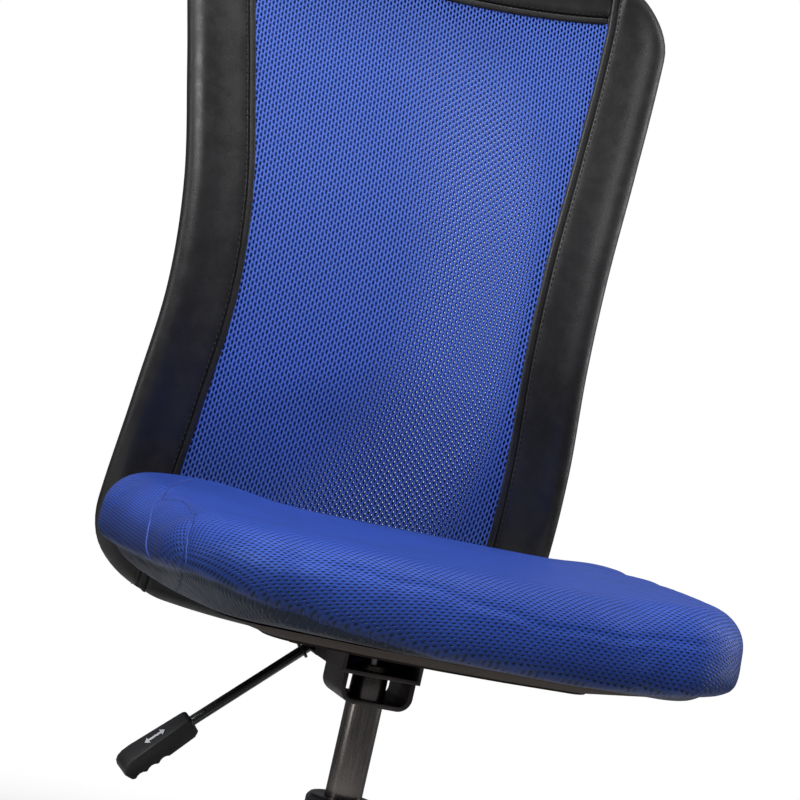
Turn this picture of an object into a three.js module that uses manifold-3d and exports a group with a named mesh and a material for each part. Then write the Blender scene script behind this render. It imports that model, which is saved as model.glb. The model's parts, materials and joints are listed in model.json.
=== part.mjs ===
// Swivel office chair without arms, in millimetres.
// The chair faces -Y, +X is the sitter's left, +Z is up.
// The origin is on the floor, on the axis of the gas lift.

import * as THREE from 'three';
import Module from 'manifold-3d';
import { mergeVertices } from 'three/addons/utils/BufferGeometryUtils.js';

const wasm = await Module();
wasm.setup();

// ---------------------------------------------------------------- driving dimensions

const GAP = 0.3; // between touching pieces

// Castors
const WHEEL_R = 25;
const WHEEL_W = 17;
const WHEEL_IN = 6; // inner face of a wheel from the castor's middle plane
const AXLE_R = 4;
const AXLE_HALF = 21;
const TRAIL = 20;
const HOOD_R = 29.5;
const HOOD_HALF = 24;
const WEB_HALF = 5.3;
const STEM_R = 5.5;
const HOOD_TOP = 60;
const STEM_TOP = 86;

// Five-star base
const LEGS = 5;
const PIN_RADIUS = 239;
const HUB_BOTTOM = 60;
const HUB_TOP = 120;
const BOSS_BOTTOM = 63;
const BOSS_TOP = 92;

// Gas lift
const TUBE_R = 25;
const TUBE_TOP = 262.7;
const TUBE_BOTTOM = 64;
const COLLAR_R = 27.5;
const COLLAR_TOP = 275;
const LIFT_R = 14;
const LIFT_BOTTOM = 155;
const LIFT_TOP = 378;
const ROD_R = 5;
const PISTON_Z = 226;
const BUTTON_R = 4;
const BUTTON_TOP = 384;

// Seat mechanism
const SHEET = 3;
const PLATE_TOP = 400;
const CHANNEL_HALF = 31;
const CHANNEL_BOTTOM = 371;
const CHANNEL_FRONT = -26;
const WEB_REAR = 104;
const CHEEK_REAR = 196;
const HANGER_HALF = 28;
const HANGER_BOTTOM = 349;
const HANGER_FRONT = -25;
const HANGER_REAR = 27;
const BOLT_X = 82;
const BOLT_YS = [-68, 62];

// Height lever, in the plane y = LEVER_Y outside the channel
const LEVER_R = 3.9;
const LEVER_Y = 57;
const LEVER_PIVOT = new THREE.Vector3(-29.5, LEVER_Y, 379.4);
const LEVER_SLOPE = THREE.MathUtils.degToRad(43);
const HANDLE_START = 112; // along the rod from the pivot
const HANDLE_LENGTH = 64;
const HANDLE_DEPTH = 11.5; // from the rod's middle to the grip's underside
const HANDLE_ROLL = THREE.MathUtils.degToRad(25);

// Seat
const SEAT_W = 430;
const SEAT_FRONT = -238;
const SEAT_REAR = 156;
const SEAT_CORNER = 82;
const SEAT_BOW = 14; // how far the front edge bows forward
const BOARD_INSET = 50;
const BOARD_TAPER = 40; // the board's underside is this much smaller all round
const BOARD_BOTTOM = PLATE_TOP + 2.1;
const BOARD_TOP = BOARD_BOTTOM + 10;
const CUSHION_BOTTOM = BOARD_TOP + GAP;
const CUSHION_LIFT = 5; // the slanted underside rises this much from the board to the edge
const CUSHION_TOP = 472;
const SEAT_MIDDLE = (SEAT_FRONT + SEAT_REAR) / 2;

// Backrest
const BACK_BOTTOM = 360;
const BACK_TOP = 944;
const BACK_THICK = 22;
const BORDER = 53; // width of the border around the mesh
const CORNER_LOW = 54;
const CORNER_HIGH = 46;
const WINDOW_BOTTOM = 412;
const WINDOW_TOP = 905; // at its corners
const TOP_DIP = 14; // the top border hangs this much lower in the middle
const BOTTOM_RISE = 9; // the bottom border's ends are this much higher than its middle
const FRAME_R = 8.5;
const MESH_THICK = 2;
const MESH_TUCK = 1.2; // clearance under the curved top border
const MESH_SIDE = 0.8; // clearance beside the curved side borders
const NOTCH_HALF = 29;
const NOTCH_TOP = 372.5;

// Back bar
const BAR_HALF = 27;
const BAR_THICK = 5;
const BAR_FRONT = 68;
const BAR_STANDOFF = 2.4; // from the curved rear border to the flat bar
const FOOT_Z = 393; // height of the screws that hold the backrest
const FOOT_SCREW_X = 16;
const BAR_BOLT_X = 14;
const BAR_BOLT_Y = 86;

// ---------------------------------------------------------------- solids

function signedVolume(position, corners) {
  const [a, b, c] = [new THREE.Vector3(), new THREE.Vector3(), new THREE.Vector3()];
  let volume = 0;
  for (let i = 0; i < corners.length; i += 3) {
    a.fromBufferAttribute(position, corners[i]);
    b.fromBufferAttribute(position, corners[i + 1]);
    c.fromBufferAttribute(position, corners[i + 2]);
    volume += a.dot(b.cross(c)) / 6;
  }
  return volume;
}

function solidOf(geometry) {
  const bare = geometry.clone();
  for (const name of Object.keys(bare.attributes)) {
    if (name !== 'position') bare.deleteAttribute(name);
  }
  const merged = mergeVertices(bare, 1e-4);
  const corners = [];
  const index = merged.index.array;
  for (let i = 0; i < index.length; i += 3) {
    const [a, b, c] = index.slice(i, i + 3);
    if (a !== b && b !== c && c !== a) corners.push(a, b, c);
  }
  if (signedVolume(merged.attributes.position, corners) < 0) corners.reverse();
  return new wasm.Manifold(new wasm.Mesh({
    numProp: 3,
    vertProperties: new Float32Array(merged.attributes.position.array),
    triVerts: new Uint32Array(corners),
  }));
}

function geometryOf(solid) {
  const mesh = solid.getMesh();
  const geometry = new THREE.BufferGeometry();
  geometry.setAttribute('position', new THREE.BufferAttribute(mesh.vertProperties, 3));
  geometry.setIndex(new THREE.BufferAttribute(mesh.triVerts, 1));
  return geometry;
}

function join(...pieces) {
  return geometryOf(pieces.map(solidOf).reduce((a, b) => a.add(b)));
}

function cut(piece, ...tools) {
  return geometryOf(tools.map(solidOf).reduce((a, b) => a.subtract(b), solidOf(piece)));
}

function reshape(geometry, move) {
  const position = geometry.attributes.position;
  const point = new THREE.Vector3();
  for (let i = 0; i < position.count; i += 1) {
    point.fromBufferAttribute(position, i);
    move(point);
    position.setXYZ(i, point.x, point.y, point.z);
  }
  return geometry;
}

function block(x0, x1, y0, y1, z0, z1) {
  const box = new THREE.BoxGeometry(x1 - x0, y1 - y0, z1 - z0);
  return box.translate((x0 + x1) / 2, (y0 + y1) / 2, (z0 + z1) / 2);
}

function turned(profile, sides) {
  const points = profile.map(([r, z]) => new THREE.Vector2(r, z));
  return new THREE.LatheGeometry(points, sides).rotateX(Math.PI / 2);
}

function rodZ(x, y, z0, z1, radius, sides = 16) {
  return new THREE.CylinderGeometry(radius, radius, z1 - z0, sides)
    .rotateX(Math.PI / 2).translate(x, y, (z0 + z1) / 2);
}

function rodY(x, y0, y1, z, radius, sides = 16) {
  return new THREE.CylinderGeometry(radius, radius, y1 - y0, sides)
    .translate(x, (y0 + y1) / 2, z);
}

function roundedRect(x0, x1, y0, y1, r) {
  const shape = new THREE.Shape();
  shape.moveTo(x0 + r, y0);
  shape.lineTo(x1 - r, y0).absarc(x1 - r, y0 + r, r, -Math.PI / 2, 0);
  shape.lineTo(x1, y1 - r).absarc(x1 - r, y1 - r, r, 0, Math.PI / 2);
  shape.lineTo(x0 + r, y1).absarc(x0 + r, y1 - r, r, Math.PI / 2, Math.PI);
  shape.lineTo(x0, y0 + r).absarc(x0 + r, y0 + r, r, Math.PI, 1.5 * Math.PI);
  return shape;
}

function slab(shape, z0, z1, curveSegments = 6) {
  return new THREE.ExtrudeGeometry(shape, { depth: z1 - z0, bevelEnabled: false, curveSegments })
    .translate(0, 0, z0);
}

// An outline drawn in the (y, z) plane, extruded from x0 to x1.
function sideSlab(shape, x0, x1, curveSegments = 6) {
  return slab(shape, x0, x1, curveSegments)
    .applyMatrix4(new THREE.Matrix4().set(0, 0, 1, 0, 1, 0, 0, 0, 0, 1, 0, 0, 0, 0, 0, 1));
}

// An outline drawn in the (x, z) plane, extruded from y0 to y1.
function frontSlab(shape, y0, y1, curveSegments = 6) {
  return slab(shape, -y1, -y0, curveSegments).rotateX(Math.PI / 2);
}

// ---------------------------------------------------------------- materials

function material(color, roughness, metalness) {
  return () => new THREE.MeshStandardMaterial({ color, roughness, metalness });
}

const nylon = material(0x1b1b1d, 0.55, 0);
const wheelNylon = material(0x232326, 0.45, 0);
const zincSteel = material(0x9a9da1, 0.35, 1);
const tubePaint = material(0x222224, 0.4, 0.2);
const liftSteel = material(0x4b4745, 0.35, 0.8);
const acetal = material(0x2a2a2c, 0.5, 0);
const plateSteel = material(0x3a3737, 0.5, 0.4);
const barPaint = material(0x161618, 0.5, 0.2);
const leverSteel = material(0x141414, 0.22, 0.4);
const handlePlastic = material(0x242425, 0.5, 0);
const plywood = material(0x6a5a48, 0.85, 0);
const dustCover = material(0x2b2727, 0.95, 0);
const seatFabric = material(0x2846a8, 0.9, 0);
const backMesh = material(0x2f55b4, 0.85, 0);
const fauxLeather = material(0x232325, 0.55, 0);
const blackBolt = material(0x2e2e30, 0.45, 0.7);

const chair = new THREE.Group();

function add(parent, name, geometry, paint) {
  const mesh = new THREE.Mesh(geometryOf(solidOf(geometry)), paint());
  mesh.name = name;
  parent.add(mesh);
  return mesh;
}

// ---------------------------------------------------------------- five-star base

function leg(angle) {
  const length = PIN_RADIUS - 27;
  const section = roundedRect(-1, 1, 0, 1, 0.45);
  const beam = new THREE.ExtrudeGeometry(section, {
    depth: 1, steps: 3, bevelEnabled: false, curveSegments: 1,
  });
  reshape(beam, (p) => {
    const t = p.z;
    const half = THREE.MathUtils.lerp(23, 13.5, t);
    const top = 114 - 18 * t - 6 * t * t;
    const bottom = THREE.MathUtils.lerp(66, 68, t);
    p.set(27 + length * t, p.x * half, THREE.MathUtils.lerp(bottom, top, p.y));
  });
  const hollow = new THREE.BoxGeometry(1, 1, 1, 2, 1, 1);
  reshape(hollow, (p) => {
    const t = p.x + 0.5;
    const half = THREE.MathUtils.lerp(18, 9.5, t);
    const top = THREE.MathUtils.lerp(104, 86, t);
    p.set(42 + (length - 36) * t, p.y * 2 * half, p.z > 0 ? top : 60);
  });
  const boss = rodZ(PIN_RADIUS, 0, BOSS_BOTTOM, BOSS_TOP, 16.5, 14);
  const spoke = join(cut(beam, hollow), boss);
  return spoke.rotateZ(angle);
}

function legAngle(i) {
  return -Math.PI / 2 + (i * 2 * Math.PI) / LEGS;
}

function baseStar() {
  const hub = turned([
    [24.3, HUB_BOTTOM], [35, HUB_BOTTOM], [37, 78], [35.5, 104], [32, HUB_TOP],
    [25.5, HUB_TOP], [24.3, HUB_BOTTOM],
  ], 24);
  const angles = Array.from({ length: LEGS }, (_, i) => legAngle(i));
  const sockets = angles.map((a) => rodZ(
    PIN_RADIUS * Math.cos(a), PIN_RADIUS * Math.sin(a),
    BOSS_BOTTOM - 5, STEM_TOP + 1, STEM_R + GAP, 10,
  ));
  return cut(join(hub, ...angles.map(leg)), ...sockets);
}

// ---------------------------------------------------------------- castors

// In a castor's own frame the stem is on the z axis and the axle is TRAIL along +x.
function castorStem() {
  return turned([
    [0, 38], [STEM_R, 38], [STEM_R, HOOD_TOP + GAP], [8, HOOD_TOP + GAP], [8, 62.4],
    [STEM_R, 62.4], [STEM_R, STEM_TOP], [0, STEM_TOP],
  ], 10);
}

function castorHood() {
  const wheelSpace = (side) => rodY(
    TRAIL, side > 0 ? WEB_HALF : -40, side > 0 ? 40 : -WEB_HALF, WHEEL_R, WHEEL_R + 1.6, 18,
  );
  const cover = cut(
    rodY(TRAIL, -HOOD_HALF, HOOD_HALF, WHEEL_R, HOOD_R, 18),
    block(-20, 60, -40, 40, -10, 26),
    block(TRAIL + 14, 60, -40, 40, 20, 70),
  );
  const web = cut(
    rodY(TRAIL, -WEB_HALF, WEB_HALF, WHEEL_R, 22, 14),
    block(-20, 60, -40, 40, -10, 10),
  );
  const neck = turned([[0, 32], [11.5, 32], [11.5, HOOD_TOP - 2], [10, HOOD_TOP], [0, HOOD_TOP]], 12);
  const shell = cut(join(cover, neck), wheelSpace(1), wheelSpace(-1));
  return cut(
    join(shell, web),
    rodY(TRAIL, -30, 30, WHEEL_R, AXLE_R + GAP, 10),
    rodZ(0, 0, 37, 70, STEM_R + GAP, 10),
  );
}

function castorAxle() {
  return rodY(TRAIL, -AXLE_HALF, AXLE_HALF, WHEEL_R, AXLE_R, 10);
}

function castorWheel(side) {
  const inner = WHEEL_IN;
  const outer = WHEEL_IN + WHEEL_W;
  const wheel = turned([
    [0, outer], [0, AXLE_HALF + 0.4], [AXLE_R + GAP, AXLE_HALF + 0.4], [AXLE_R + GAP, inner],
    [WHEEL_R, inner], [WHEEL_R, outer - 4], [WHEEL_R - 4, outer], [0, outer],
  ].slice(1), 16);
  return wheel.rotateX(side > 0 ? -Math.PI / 2 : Math.PI / 2);
}

// Each castor trails along its leg's tangent, mirrored left to right.
function castorHeading(i) {
  const angle = legAngle(i);
  return angle + (Math.cos(angle) < -1e-6 ? -Math.PI / 2 : Math.PI / 2);
}

function addCastors() {
  for (let i = 0; i < LEGS; i += 1) {
    const angle = legAngle(i);
    const castor = new THREE.Group();
    castor.position.set(PIN_RADIUS * Math.cos(angle), PIN_RADIUS * Math.sin(angle), 0);
    castor.rotation.z = castorHeading(i);
    chair.add(castor);
    const n = i + 1;
    add(castor, `castor_${n}_stem`, castorStem(), zincSteel);
    add(castor, `castor_${n}_hood`, castorHood(), nylon);
    add(castor, `castor_${n}_axle`, castorAxle(), zincSteel);
    for (const [label, side] of [['a', 1], ['b', -1]]) {
      const wheel = add(castor, `castor_${n}_wheel_${label}`, castorWheel(side), wheelNylon);
      wheel.position.set(TRAIL, 0, WHEEL_R);
    }
  }
}

// ---------------------------------------------------------------- gas lift

function outerTube() {
  return turned([
    [6, TUBE_BOTTOM], [24, TUBE_BOTTOM], [TUBE_R, HUB_TOP - 4], [TUBE_R, TUBE_TOP],
    [TUBE_R - 2, TUBE_TOP], [TUBE_R - 2, TUBE_BOTTOM + 4], [6, TUBE_BOTTOM + 4],
    [6, TUBE_BOTTOM],
  ], 24);
}

function guideBushing() {
  const sleeve = TUBE_R - 2 - GAP;
  const bore = LIFT_R + GAP;
  return turned([
    [bore, 205], [sleeve, 205], [sleeve, TUBE_TOP + GAP], [COLLAR_R, TUBE_TOP + GAP],
    [COLLAR_R, COLLAR_TOP - 3], [COLLAR_R - 2.5, COLLAR_TOP], [bore, COLLAR_TOP], [bore, 205],
  ], 24);
}

function liftCylinder() {
  const wall = 11.5;
  return turned([
    [ROD_R + GAP, LIFT_BOTTOM], [LIFT_R - 1, LIFT_BOTTOM], [LIFT_R, LIFT_BOTTOM + 2],
    [LIFT_R, 345], [13.2, LIFT_TOP - 1], [12.4, LIFT_TOP], [BUTTON_R + GAP, LIFT_TOP],
    [BUTTON_R + GAP, LIFT_TOP - 4], [wall - 1, LIFT_TOP - 4], [wall - 1, 345], [wall, 340],
    [wall, LIFT_BOTTOM + 7], [ROD_R + GAP, LIFT_BOTTOM + 7], [ROD_R + GAP, LIFT_BOTTOM],
  ], 24);
}

function valveButton() {
  const flange = LIFT_TOP - 4 - GAP;
  return turned([
    [0, flange - 4], [6, flange - 4], [6, flange], [BUTTON_R, flange],
    [BUTTON_R, BUTTON_TOP - 2], [2.4, BUTTON_TOP], [0, BUTTON_TOP],
  ], 16);
}

function liftRod() {
  return turned([
    [0, 59], [ROD_R - 0.8, 59], [ROD_R, 60], [ROD_R, PISTON_Z], [11.2, PISTON_Z],
    [11.2, PISTON_Z + 10], [0, PISTON_Z + 10],
  ], 16);
}

function ring(inner, outer, z0, z1, sides = 16) {
  return turned([[inner, z0], [outer, z0], [outer, z1], [inner, z1], [inner, z0]], sides);
}

// ---------------------------------------------------------------- seat mechanism

function seatPlate() {
  const top = PLATE_TOP;
  const arms = BOLT_YS.map((y) => slab(
    roundedRect(-BOLT_X - 20, BOLT_X + 20, y - 21, y + 21, 19), top - SHEET, top, 4,
  ));
  const ribs = BOLT_YS.flatMap((y) => [-1, 1].map((side) => slab(
    roundedRect(side * 52 - 16, side * 52 + 16, y - 5, y + 5, 4.8), top - 7, top - 1, 3,
  )));
  const spine = block(-34, 34, -98, 118, top - SHEET, top);
  const cheek = new THREE.Shape();
  cheek.moveTo(CHANNEL_FRONT, CHANNEL_BOTTOM);
  cheek.lineTo(CHEEK_REAR - 22, CHANNEL_BOTTOM - 1);
  cheek.quadraticCurveTo(CHEEK_REAR, CHANNEL_BOTTOM, CHEEK_REAR, 380);
  cheek.quadraticCurveTo(CHEEK_REAR, 391, CHEEK_REAR - 24, 391);
  cheek.lineTo(132, 391);
  cheek.quadraticCurveTo(118, 391, 112, top - 1);
  cheek.lineTo(CHANNEL_FRONT, top - 1);
  const cheeks = [-1, 1].map((side) => sideSlab(
    cheek,
    side > 0 ? CHANNEL_HALF - SHEET : -CHANNEL_HALF,
    side > 0 ? CHANNEL_HALF : -CHANNEL_HALF + SHEET,
  ));
  const web = block(
    -CHANNEL_HALF, CHANNEL_HALF, CHANNEL_FRONT, WEB_REAR, CHANNEL_BOTTOM, CHANNEL_BOTTOM + SHEET,
  );
  const pressing = join(spine, ...arms, ...ribs, ...cheeks, web);
  const boltHoles = BOLT_YS.flatMap((y) => [-1, 1].map((side) => rodZ(
    side * BOLT_X, y, top - 12, top + 5, 3.4, 12,
  )));
  const barHoles = [-1, 1].map((side) => rodZ(
    side * BAR_BOLT_X, BAR_BOLT_Y, CHANNEL_BOTTOM - 5, CHANNEL_BOTTOM + 6, 3.4, 12,
  ));
  const socket = rodZ(0, 0, CHANNEL_BOTTOM - 5, CHANNEL_BOTTOM + 8, 13.8, 24);
  return cut(pressing, ...boltHoles, ...barHoles, socket, ...leverSlot());
}

// A round-cornered slot with two crossing relief cuts, in the channel's right-hand wall.
function leverSlot() {
  const { x, y, z } = LEVER_PIVOT;
  const opening = block(x - 4, x + 4, y - 5.2, y + 5.2, z - 7.2, z + 9);
  const reliefs = [-1, 1].map((side) => new THREE.BoxGeometry(8, 1.6, 20)
    .rotateX(side * THREE.MathUtils.degToRad(40)).translate(x, y, z + 4.5));
  return [opening, ...reliefs];
}

function columnHanger() {
  const outer = roundedRect(-HANGER_HALF, HANGER_HALF, HANGER_BOTTOM, 400, 11);
  const inner = roundedRect(
    -HANGER_HALF + 3.5, HANGER_HALF - 3.5, HANGER_BOTTOM + 3.5, 400, 7.5,
  );
  const strap = cut(
    frontSlab(outer, HANGER_FRONT, HANGER_REAR, 5),
    frontSlab(inner, HANGER_FRONT - 5, HANGER_REAR + 5, 5),
    block(-50, 50, -60, 60, CHANNEL_BOTTOM - GAP, 420),
  );
  return cut(strap, rodZ(0, 0, HANGER_BOTTOM - 5, HANGER_BOTTOM + 6, LIFT_R + GAP, 24));
}

function hexBolt(shankTop, headTop, headHigh, headR = 6.4) {
  const head = rodZ(0, 0, headTop - headHigh - 1.3, headTop - 1.1, headR, 6);
  const washer = rodZ(0, 0, headTop - 1.3, headTop, headR + 2.4, 14);
  const shank = rodZ(0, 0, headTop - 1, shankTop, 3, 10);
  return join(head, washer, shank);
}

function addSeatBolts() {
  const seatBolt = hexBolt(BOARD_TOP - 1, PLATE_TOP - SHEET - GAP, 4);
  const places = BOLT_YS.flatMap((y) => [[-BOLT_X, y], [BOLT_X, y]]);
  places.forEach(([x, y], i) => {
    add(chair, `seat_bolt_${i + 1}`, seatBolt, blackBolt).position.set(x, y, 0);
  });
}

// ---------------------------------------------------------------- height lever

function leverDirection() {
  return new THREE.Vector3(-Math.cos(LEVER_SLOPE), 0, -Math.sin(LEVER_SLOPE));
}

function alongLever(distance) {
  return LEVER_PIVOT.clone().addScaledVector(leverDirection(), distance);
}

function leverRod() {
  const level = BUTTON_TOP + LEVER_R + 0.5;
  const path = new THREE.CatmullRomCurve3([
    alongLever(HANDLE_START + 17), alongLever(HANDLE_START - 10), alongLever(60), alongLever(12),
    alongLever(-2), new THREE.Vector3(-21, 55, level - 0.5), new THREE.Vector3(-12, 41, level),
    new THREE.Vector3(-3, 12, level), new THREE.Vector3(1, -9, level),
  ], false, 'centripetal');
  const circle = new THREE.Shape().absarc(0, 0, LEVER_R, 0, 2 * Math.PI);
  return new THREE.ExtrudeGeometry(circle, {
    extrudePath: path, steps: 28, curveSegments: 4, bevelEnabled: false,
  });
}

function leverClip() {
  const clip = ring(LEVER_R + GAP, 6.4, -0.8, 0.8, 14);
  const turn = new THREE.Quaternion().setFromUnitVectors(
    new THREE.Vector3(0, 0, 1), leverDirection(),
  );
  const centre = alongLever(13);
  return clip.applyQuaternion(turn).translate(centre.x, centre.y, centre.z);
}

// In the handle's own frame +x runs from the rod to the tip and +z is the flat top.
function leverHandle() {
  const side = new THREE.Shape();
  side.moveTo(0, 5);
  side.quadraticCurveTo(0.5, 7.5, 4, 7.5);
  side.lineTo(HANDLE_LENGTH - 14, 6.5);
  side.quadraticCurveTo(HANDLE_LENGTH, 5.5, HANDLE_LENGTH, -3);
  side.lineTo(HANDLE_LENGTH - 3, -10);
  const scallop = 9;
  for (let i = 0; i < 3; i += 1) {
    const start = HANDLE_LENGTH - 6 - i * (scallop + 1.5);
    side.lineTo(start, -HANDLE_DEPTH);
    side.quadraticCurveTo(start - scallop / 2, 4 - HANDLE_DEPTH, start - scallop, -HANDLE_DEPTH);
  }
  side.lineTo(4, -HANDLE_DEPTH + 1);
  side.lineTo(0, -HANDLE_DEPTH + 4);
  const bevel = 1.6;
  const half = 6.9;
  const body = new THREE.ExtrudeGeometry(side, {
    depth: 2 * half, steps: 1, curveSegments: 4,
    bevelEnabled: true, bevelThickness: bevel, bevelSize: bevel, bevelOffset: -bevel,
    bevelSegments: 2,
  });
  body.translate(0, 0, -half).rotateX(Math.PI / 2);
  reshape(body, (p) => {
    p.y *= THREE.MathUtils.lerp(0.78, 1.16, THREE.MathUtils.clamp(p.x / HANDLE_LENGTH, 0, 1));
  });
  const bore = new THREE.CylinderGeometry(LEVER_R + GAP, LEVER_R + GAP, 30, 12)
    .rotateZ(Math.PI / 2).translate(3.5, 0, 0);
  return cut(body, bore);
}

function addHandle() {
  const handle = add(chair, 'lever_handle', leverHandle(), handlePlastic);
  const along = leverDirection();
  const up = new THREE.Vector3(along.z, 0, -along.x);
  const front = new THREE.Vector3(0, -1, 0);
  const top = up.clone().multiplyScalar(Math.cos(HANDLE_ROLL))
    .addScaledVector(front, Math.sin(HANDLE_ROLL));
  const across = new THREE.Vector3().crossVectors(top, along);
  handle.quaternion.setFromRotationMatrix(new THREE.Matrix4().makeBasis(along, across, top));
  handle.position.copy(alongLever(HANDLE_START));
}

// ---------------------------------------------------------------- seat

function seatOutline(inset) {
  const half = SEAT_W / 2 - inset;
  const front = SEAT_FRONT + SEAT_BOW + inset;
  const rear = SEAT_REAR - inset;
  const r = SEAT_CORNER - inset;
  const shape = new THREE.Shape();
  shape.moveTo(-half + r, front);
  shape.quadraticCurveTo(0, front - 2 * SEAT_BOW, half - r, front);
  shape.absarc(half - r, front + r, r, -Math.PI / 2, 0);
  shape.lineTo(half, rear - r).absarc(half - r, rear - r, r, 0, Math.PI / 2);
  shape.lineTo(-half + r, rear).absarc(-half + r, rear - r, r, Math.PI / 2, Math.PI);
  shape.lineTo(-half, front + r).absarc(-half + r, front + r, r, Math.PI, 1.5 * Math.PI);
  return shape;
}

// Draws a point in towards the middle of the seat.
function drawIn(point, amount) {
  point.x *= 1 - amount;
  point.y = THREE.MathUtils.lerp(point.y, SEAT_MIDDLE, amount);
}

// The cushion is bevelled at its edges, and its underside slants in to meet the board.
function seatCushion() {
  const bevel = 15;
  const high = CUSHION_TOP - CUSHION_BOTTOM - CUSHION_LIFT;
  const cushion = new THREE.ExtrudeGeometry(seatOutline(0), {
    depth: high - 2 * bevel, curveSegments: 5,
    bevelEnabled: true, bevelThickness: bevel, bevelSize: bevel, bevelOffset: -bevel,
    bevelSegments: 2,
  });
  return reshape(cushion, (p) => {
    const underside = p.z < -bevel + 0.1;
    if (underside) drawIn(p, (BOARD_INSET - bevel) / (SEAT_W / 2 - bevel));
    p.z = underside ? CUSHION_BOTTOM : CUSHION_BOTTOM + CUSHION_LIFT + bevel + p.z;
  });
}

function boltDrills(z0, z1) {
  return BOLT_YS.flatMap((y) => [-1, 1].map((side) => rodZ(
    side * BOLT_X, y, z0, z1, 3.4, 10,
  )));
}

function seatBoard() {
  const board = slab(seatOutline(BOARD_INSET), BOARD_BOTTOM, BOARD_TOP, 4);
  reshape(board, (p) => {
    if (p.z < BOARD_TOP - 1) drawIn(p, BOARD_TAPER / (SEAT_W / 2 - BOARD_INSET));
  });
  return cut(board, ...boltDrills(BOARD_BOTTOM - 5, BOARD_TOP + 5));
}

function underCover() {
  const sheet = slab(seatOutline(BOARD_INSET), PLATE_TOP + GAP, BOARD_BOTTOM - GAP, 4);
  reshape(sheet, (p) => drawIn(p, (BOARD_TAPER + 3) / (SEAT_W / 2 - BOARD_INSET)));
  return cut(sheet, ...boltDrills(PLATE_TOP - 5, BOARD_TOP));
}

// ---------------------------------------------------------------- backrest

// How far back the front face of the backrest is, at a height: it bulges at the lumbar.
const backLine = new THREE.CatmullRomCurve3([
  [310, 232], [430, 193.5], [520, 170.5], [612, 163], [700, 172.5], [800, 199.5], [880, 225],
  [1000, 254],
].map(([z, y]) => new THREE.Vector3(0, y, z)));

// Half the backrest's width at a height, before its corners are rounded.
const sideLine = new THREE.CatmullRomCurve3([
  [310, 181], [440, 185.5], [530, 181], [620, 174.5], [700, 177.5], [790, 190], [880, 203],
  [1000, 212],
].map(([z, x]) => new THREE.Vector3(x, 0, z)));

function tableOf(curve, axis) {
  const points = curve.getPoints(240);
  return (z) => {
    const at = points.findIndex((p) => p.z > z);
    const [low, high] = [points[at - 1], points[at]];
    return THREE.MathUtils.mapLinear(z, low.z, high.z, low[axis], high[axis]);
  };
}

const backY = tableOf(backLine, 'y');
const sideX = tableOf(sideLine, 'x');

function cornerLoss(distance, radius) {
  if (distance >= radius) return 0;
  return radius - Math.sqrt(radius ** 2 - (radius - distance) ** 2);
}

function windowHalf(z) {
  return sideX(z) - BORDER;
}

const SEAM_LOW = windowHalf(WINDOW_BOTTOM);
const SEAM_HIGH = windowHalf(WINDOW_TOP);

function windowTop(x) {
  return WINDOW_TOP - TOP_DIP * (1 - (x / SEAM_HIGH) ** 2);
}

function borderTop(x) {
  return BACK_TOP - 9 * (1 - Math.min(1, (x / SEAM_HIGH) ** 2));
}

function borderBottom(x) {
  return BACK_BOTTOM + BOTTOM_RISE * Math.min(1, (x / SEAM_LOW) ** 2);
}

// A slab of the backrest: spans gives its x range and z range at (u, v) in 0..1.
function backPanel(columns, rows, depth0, depth1, place) {
  const panel = new THREE.BoxGeometry(1, 1, 1, columns, 1, rows);
  return reshape(panel, (p) => {
    const depth = p.y < 0 ? depth0 : depth1;
    const [x, z] = place(p.x + 0.5, p.z + 0.5);
    p.set(x, backY(z) + depth, z);
  });
}

// Rows crowd together at the rounded corners, and one falls on each end of the window.
function borderRow(low, v) {
  if (v < 0.25) return low + (WINDOW_BOTTOM - low) * (4 * v) ** 2;
  if (v > 0.75) return BACK_TOP - (BACK_TOP - WINDOW_TOP) * (4 - 4 * v) ** 2;
  return THREE.MathUtils.mapLinear(v, 0.25, 0.75, WINDOW_BOTTOM, WINDOW_TOP);
}

function sideBorder(side, depth0, depth1) {
  const low = BACK_BOTTOM + BOTTOM_RISE;
  const panel = backPanel(1, 20, depth0, depth1, (u, v) => {
    const z = borderRow(low, v);
    const loss = Math.max(
      cornerLoss(z - low, CORNER_LOW), cornerLoss(BACK_TOP - z, CORNER_HIGH),
    );
    const inner = Math.min(windowHalf(z), SEAM_HIGH);
    const seam = z < WINDOW_BOTTOM ? SEAM_LOW : inner;
    return [THREE.MathUtils.lerp(seam, sideX(z) - loss, u), z];
  });
  return side > 0 ? panel : mirrored(panel);
}

function mirrored(geometry) {
  return geometryOf(solidOf(geometry).mirror([1, 0, 0]));
}

function topBorder(depth0, depth1, overlap) {
  const half = SEAM_HIGH - GAP + overlap;
  return backPanel(8, 2, depth0, depth1, (u, v) => {
    const x = THREE.MathUtils.lerp(-half, half, u);
    return [x, THREE.MathUtils.lerp(windowTop(x), borderTop(x), v)];
  });
}

function bottomBorder(depth0, depth1, overlap) {
  const half = SEAM_LOW - GAP + overlap;
  return backPanel(8, 2, depth0, depth1, (u, v) => {
    const x = THREE.MathUtils.lerp(-half, half, u);
    return [x, THREE.MathUtils.lerp(borderBottom(x), WINDOW_BOTTOM, v)];
  });
}

function meshPanel(depth0, depth1) {
  return backPanel(4, 14, depth0, depth1, (u, v) => {
    const low = WINDOW_BOTTOM + GAP;
    const z = THREE.MathUtils.lerp(low, WINDOW_TOP - TOP_DIP - MESH_TUCK, v);
    const half = windowHalf(z) - MESH_SIDE;
    const x = THREE.MathUtils.lerp(-half, half, u);
    const rise = (windowTop(x) - WINDOW_TOP + TOP_DIP) * v ** 6;
    return [x, z + rise];
  });
}

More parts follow.
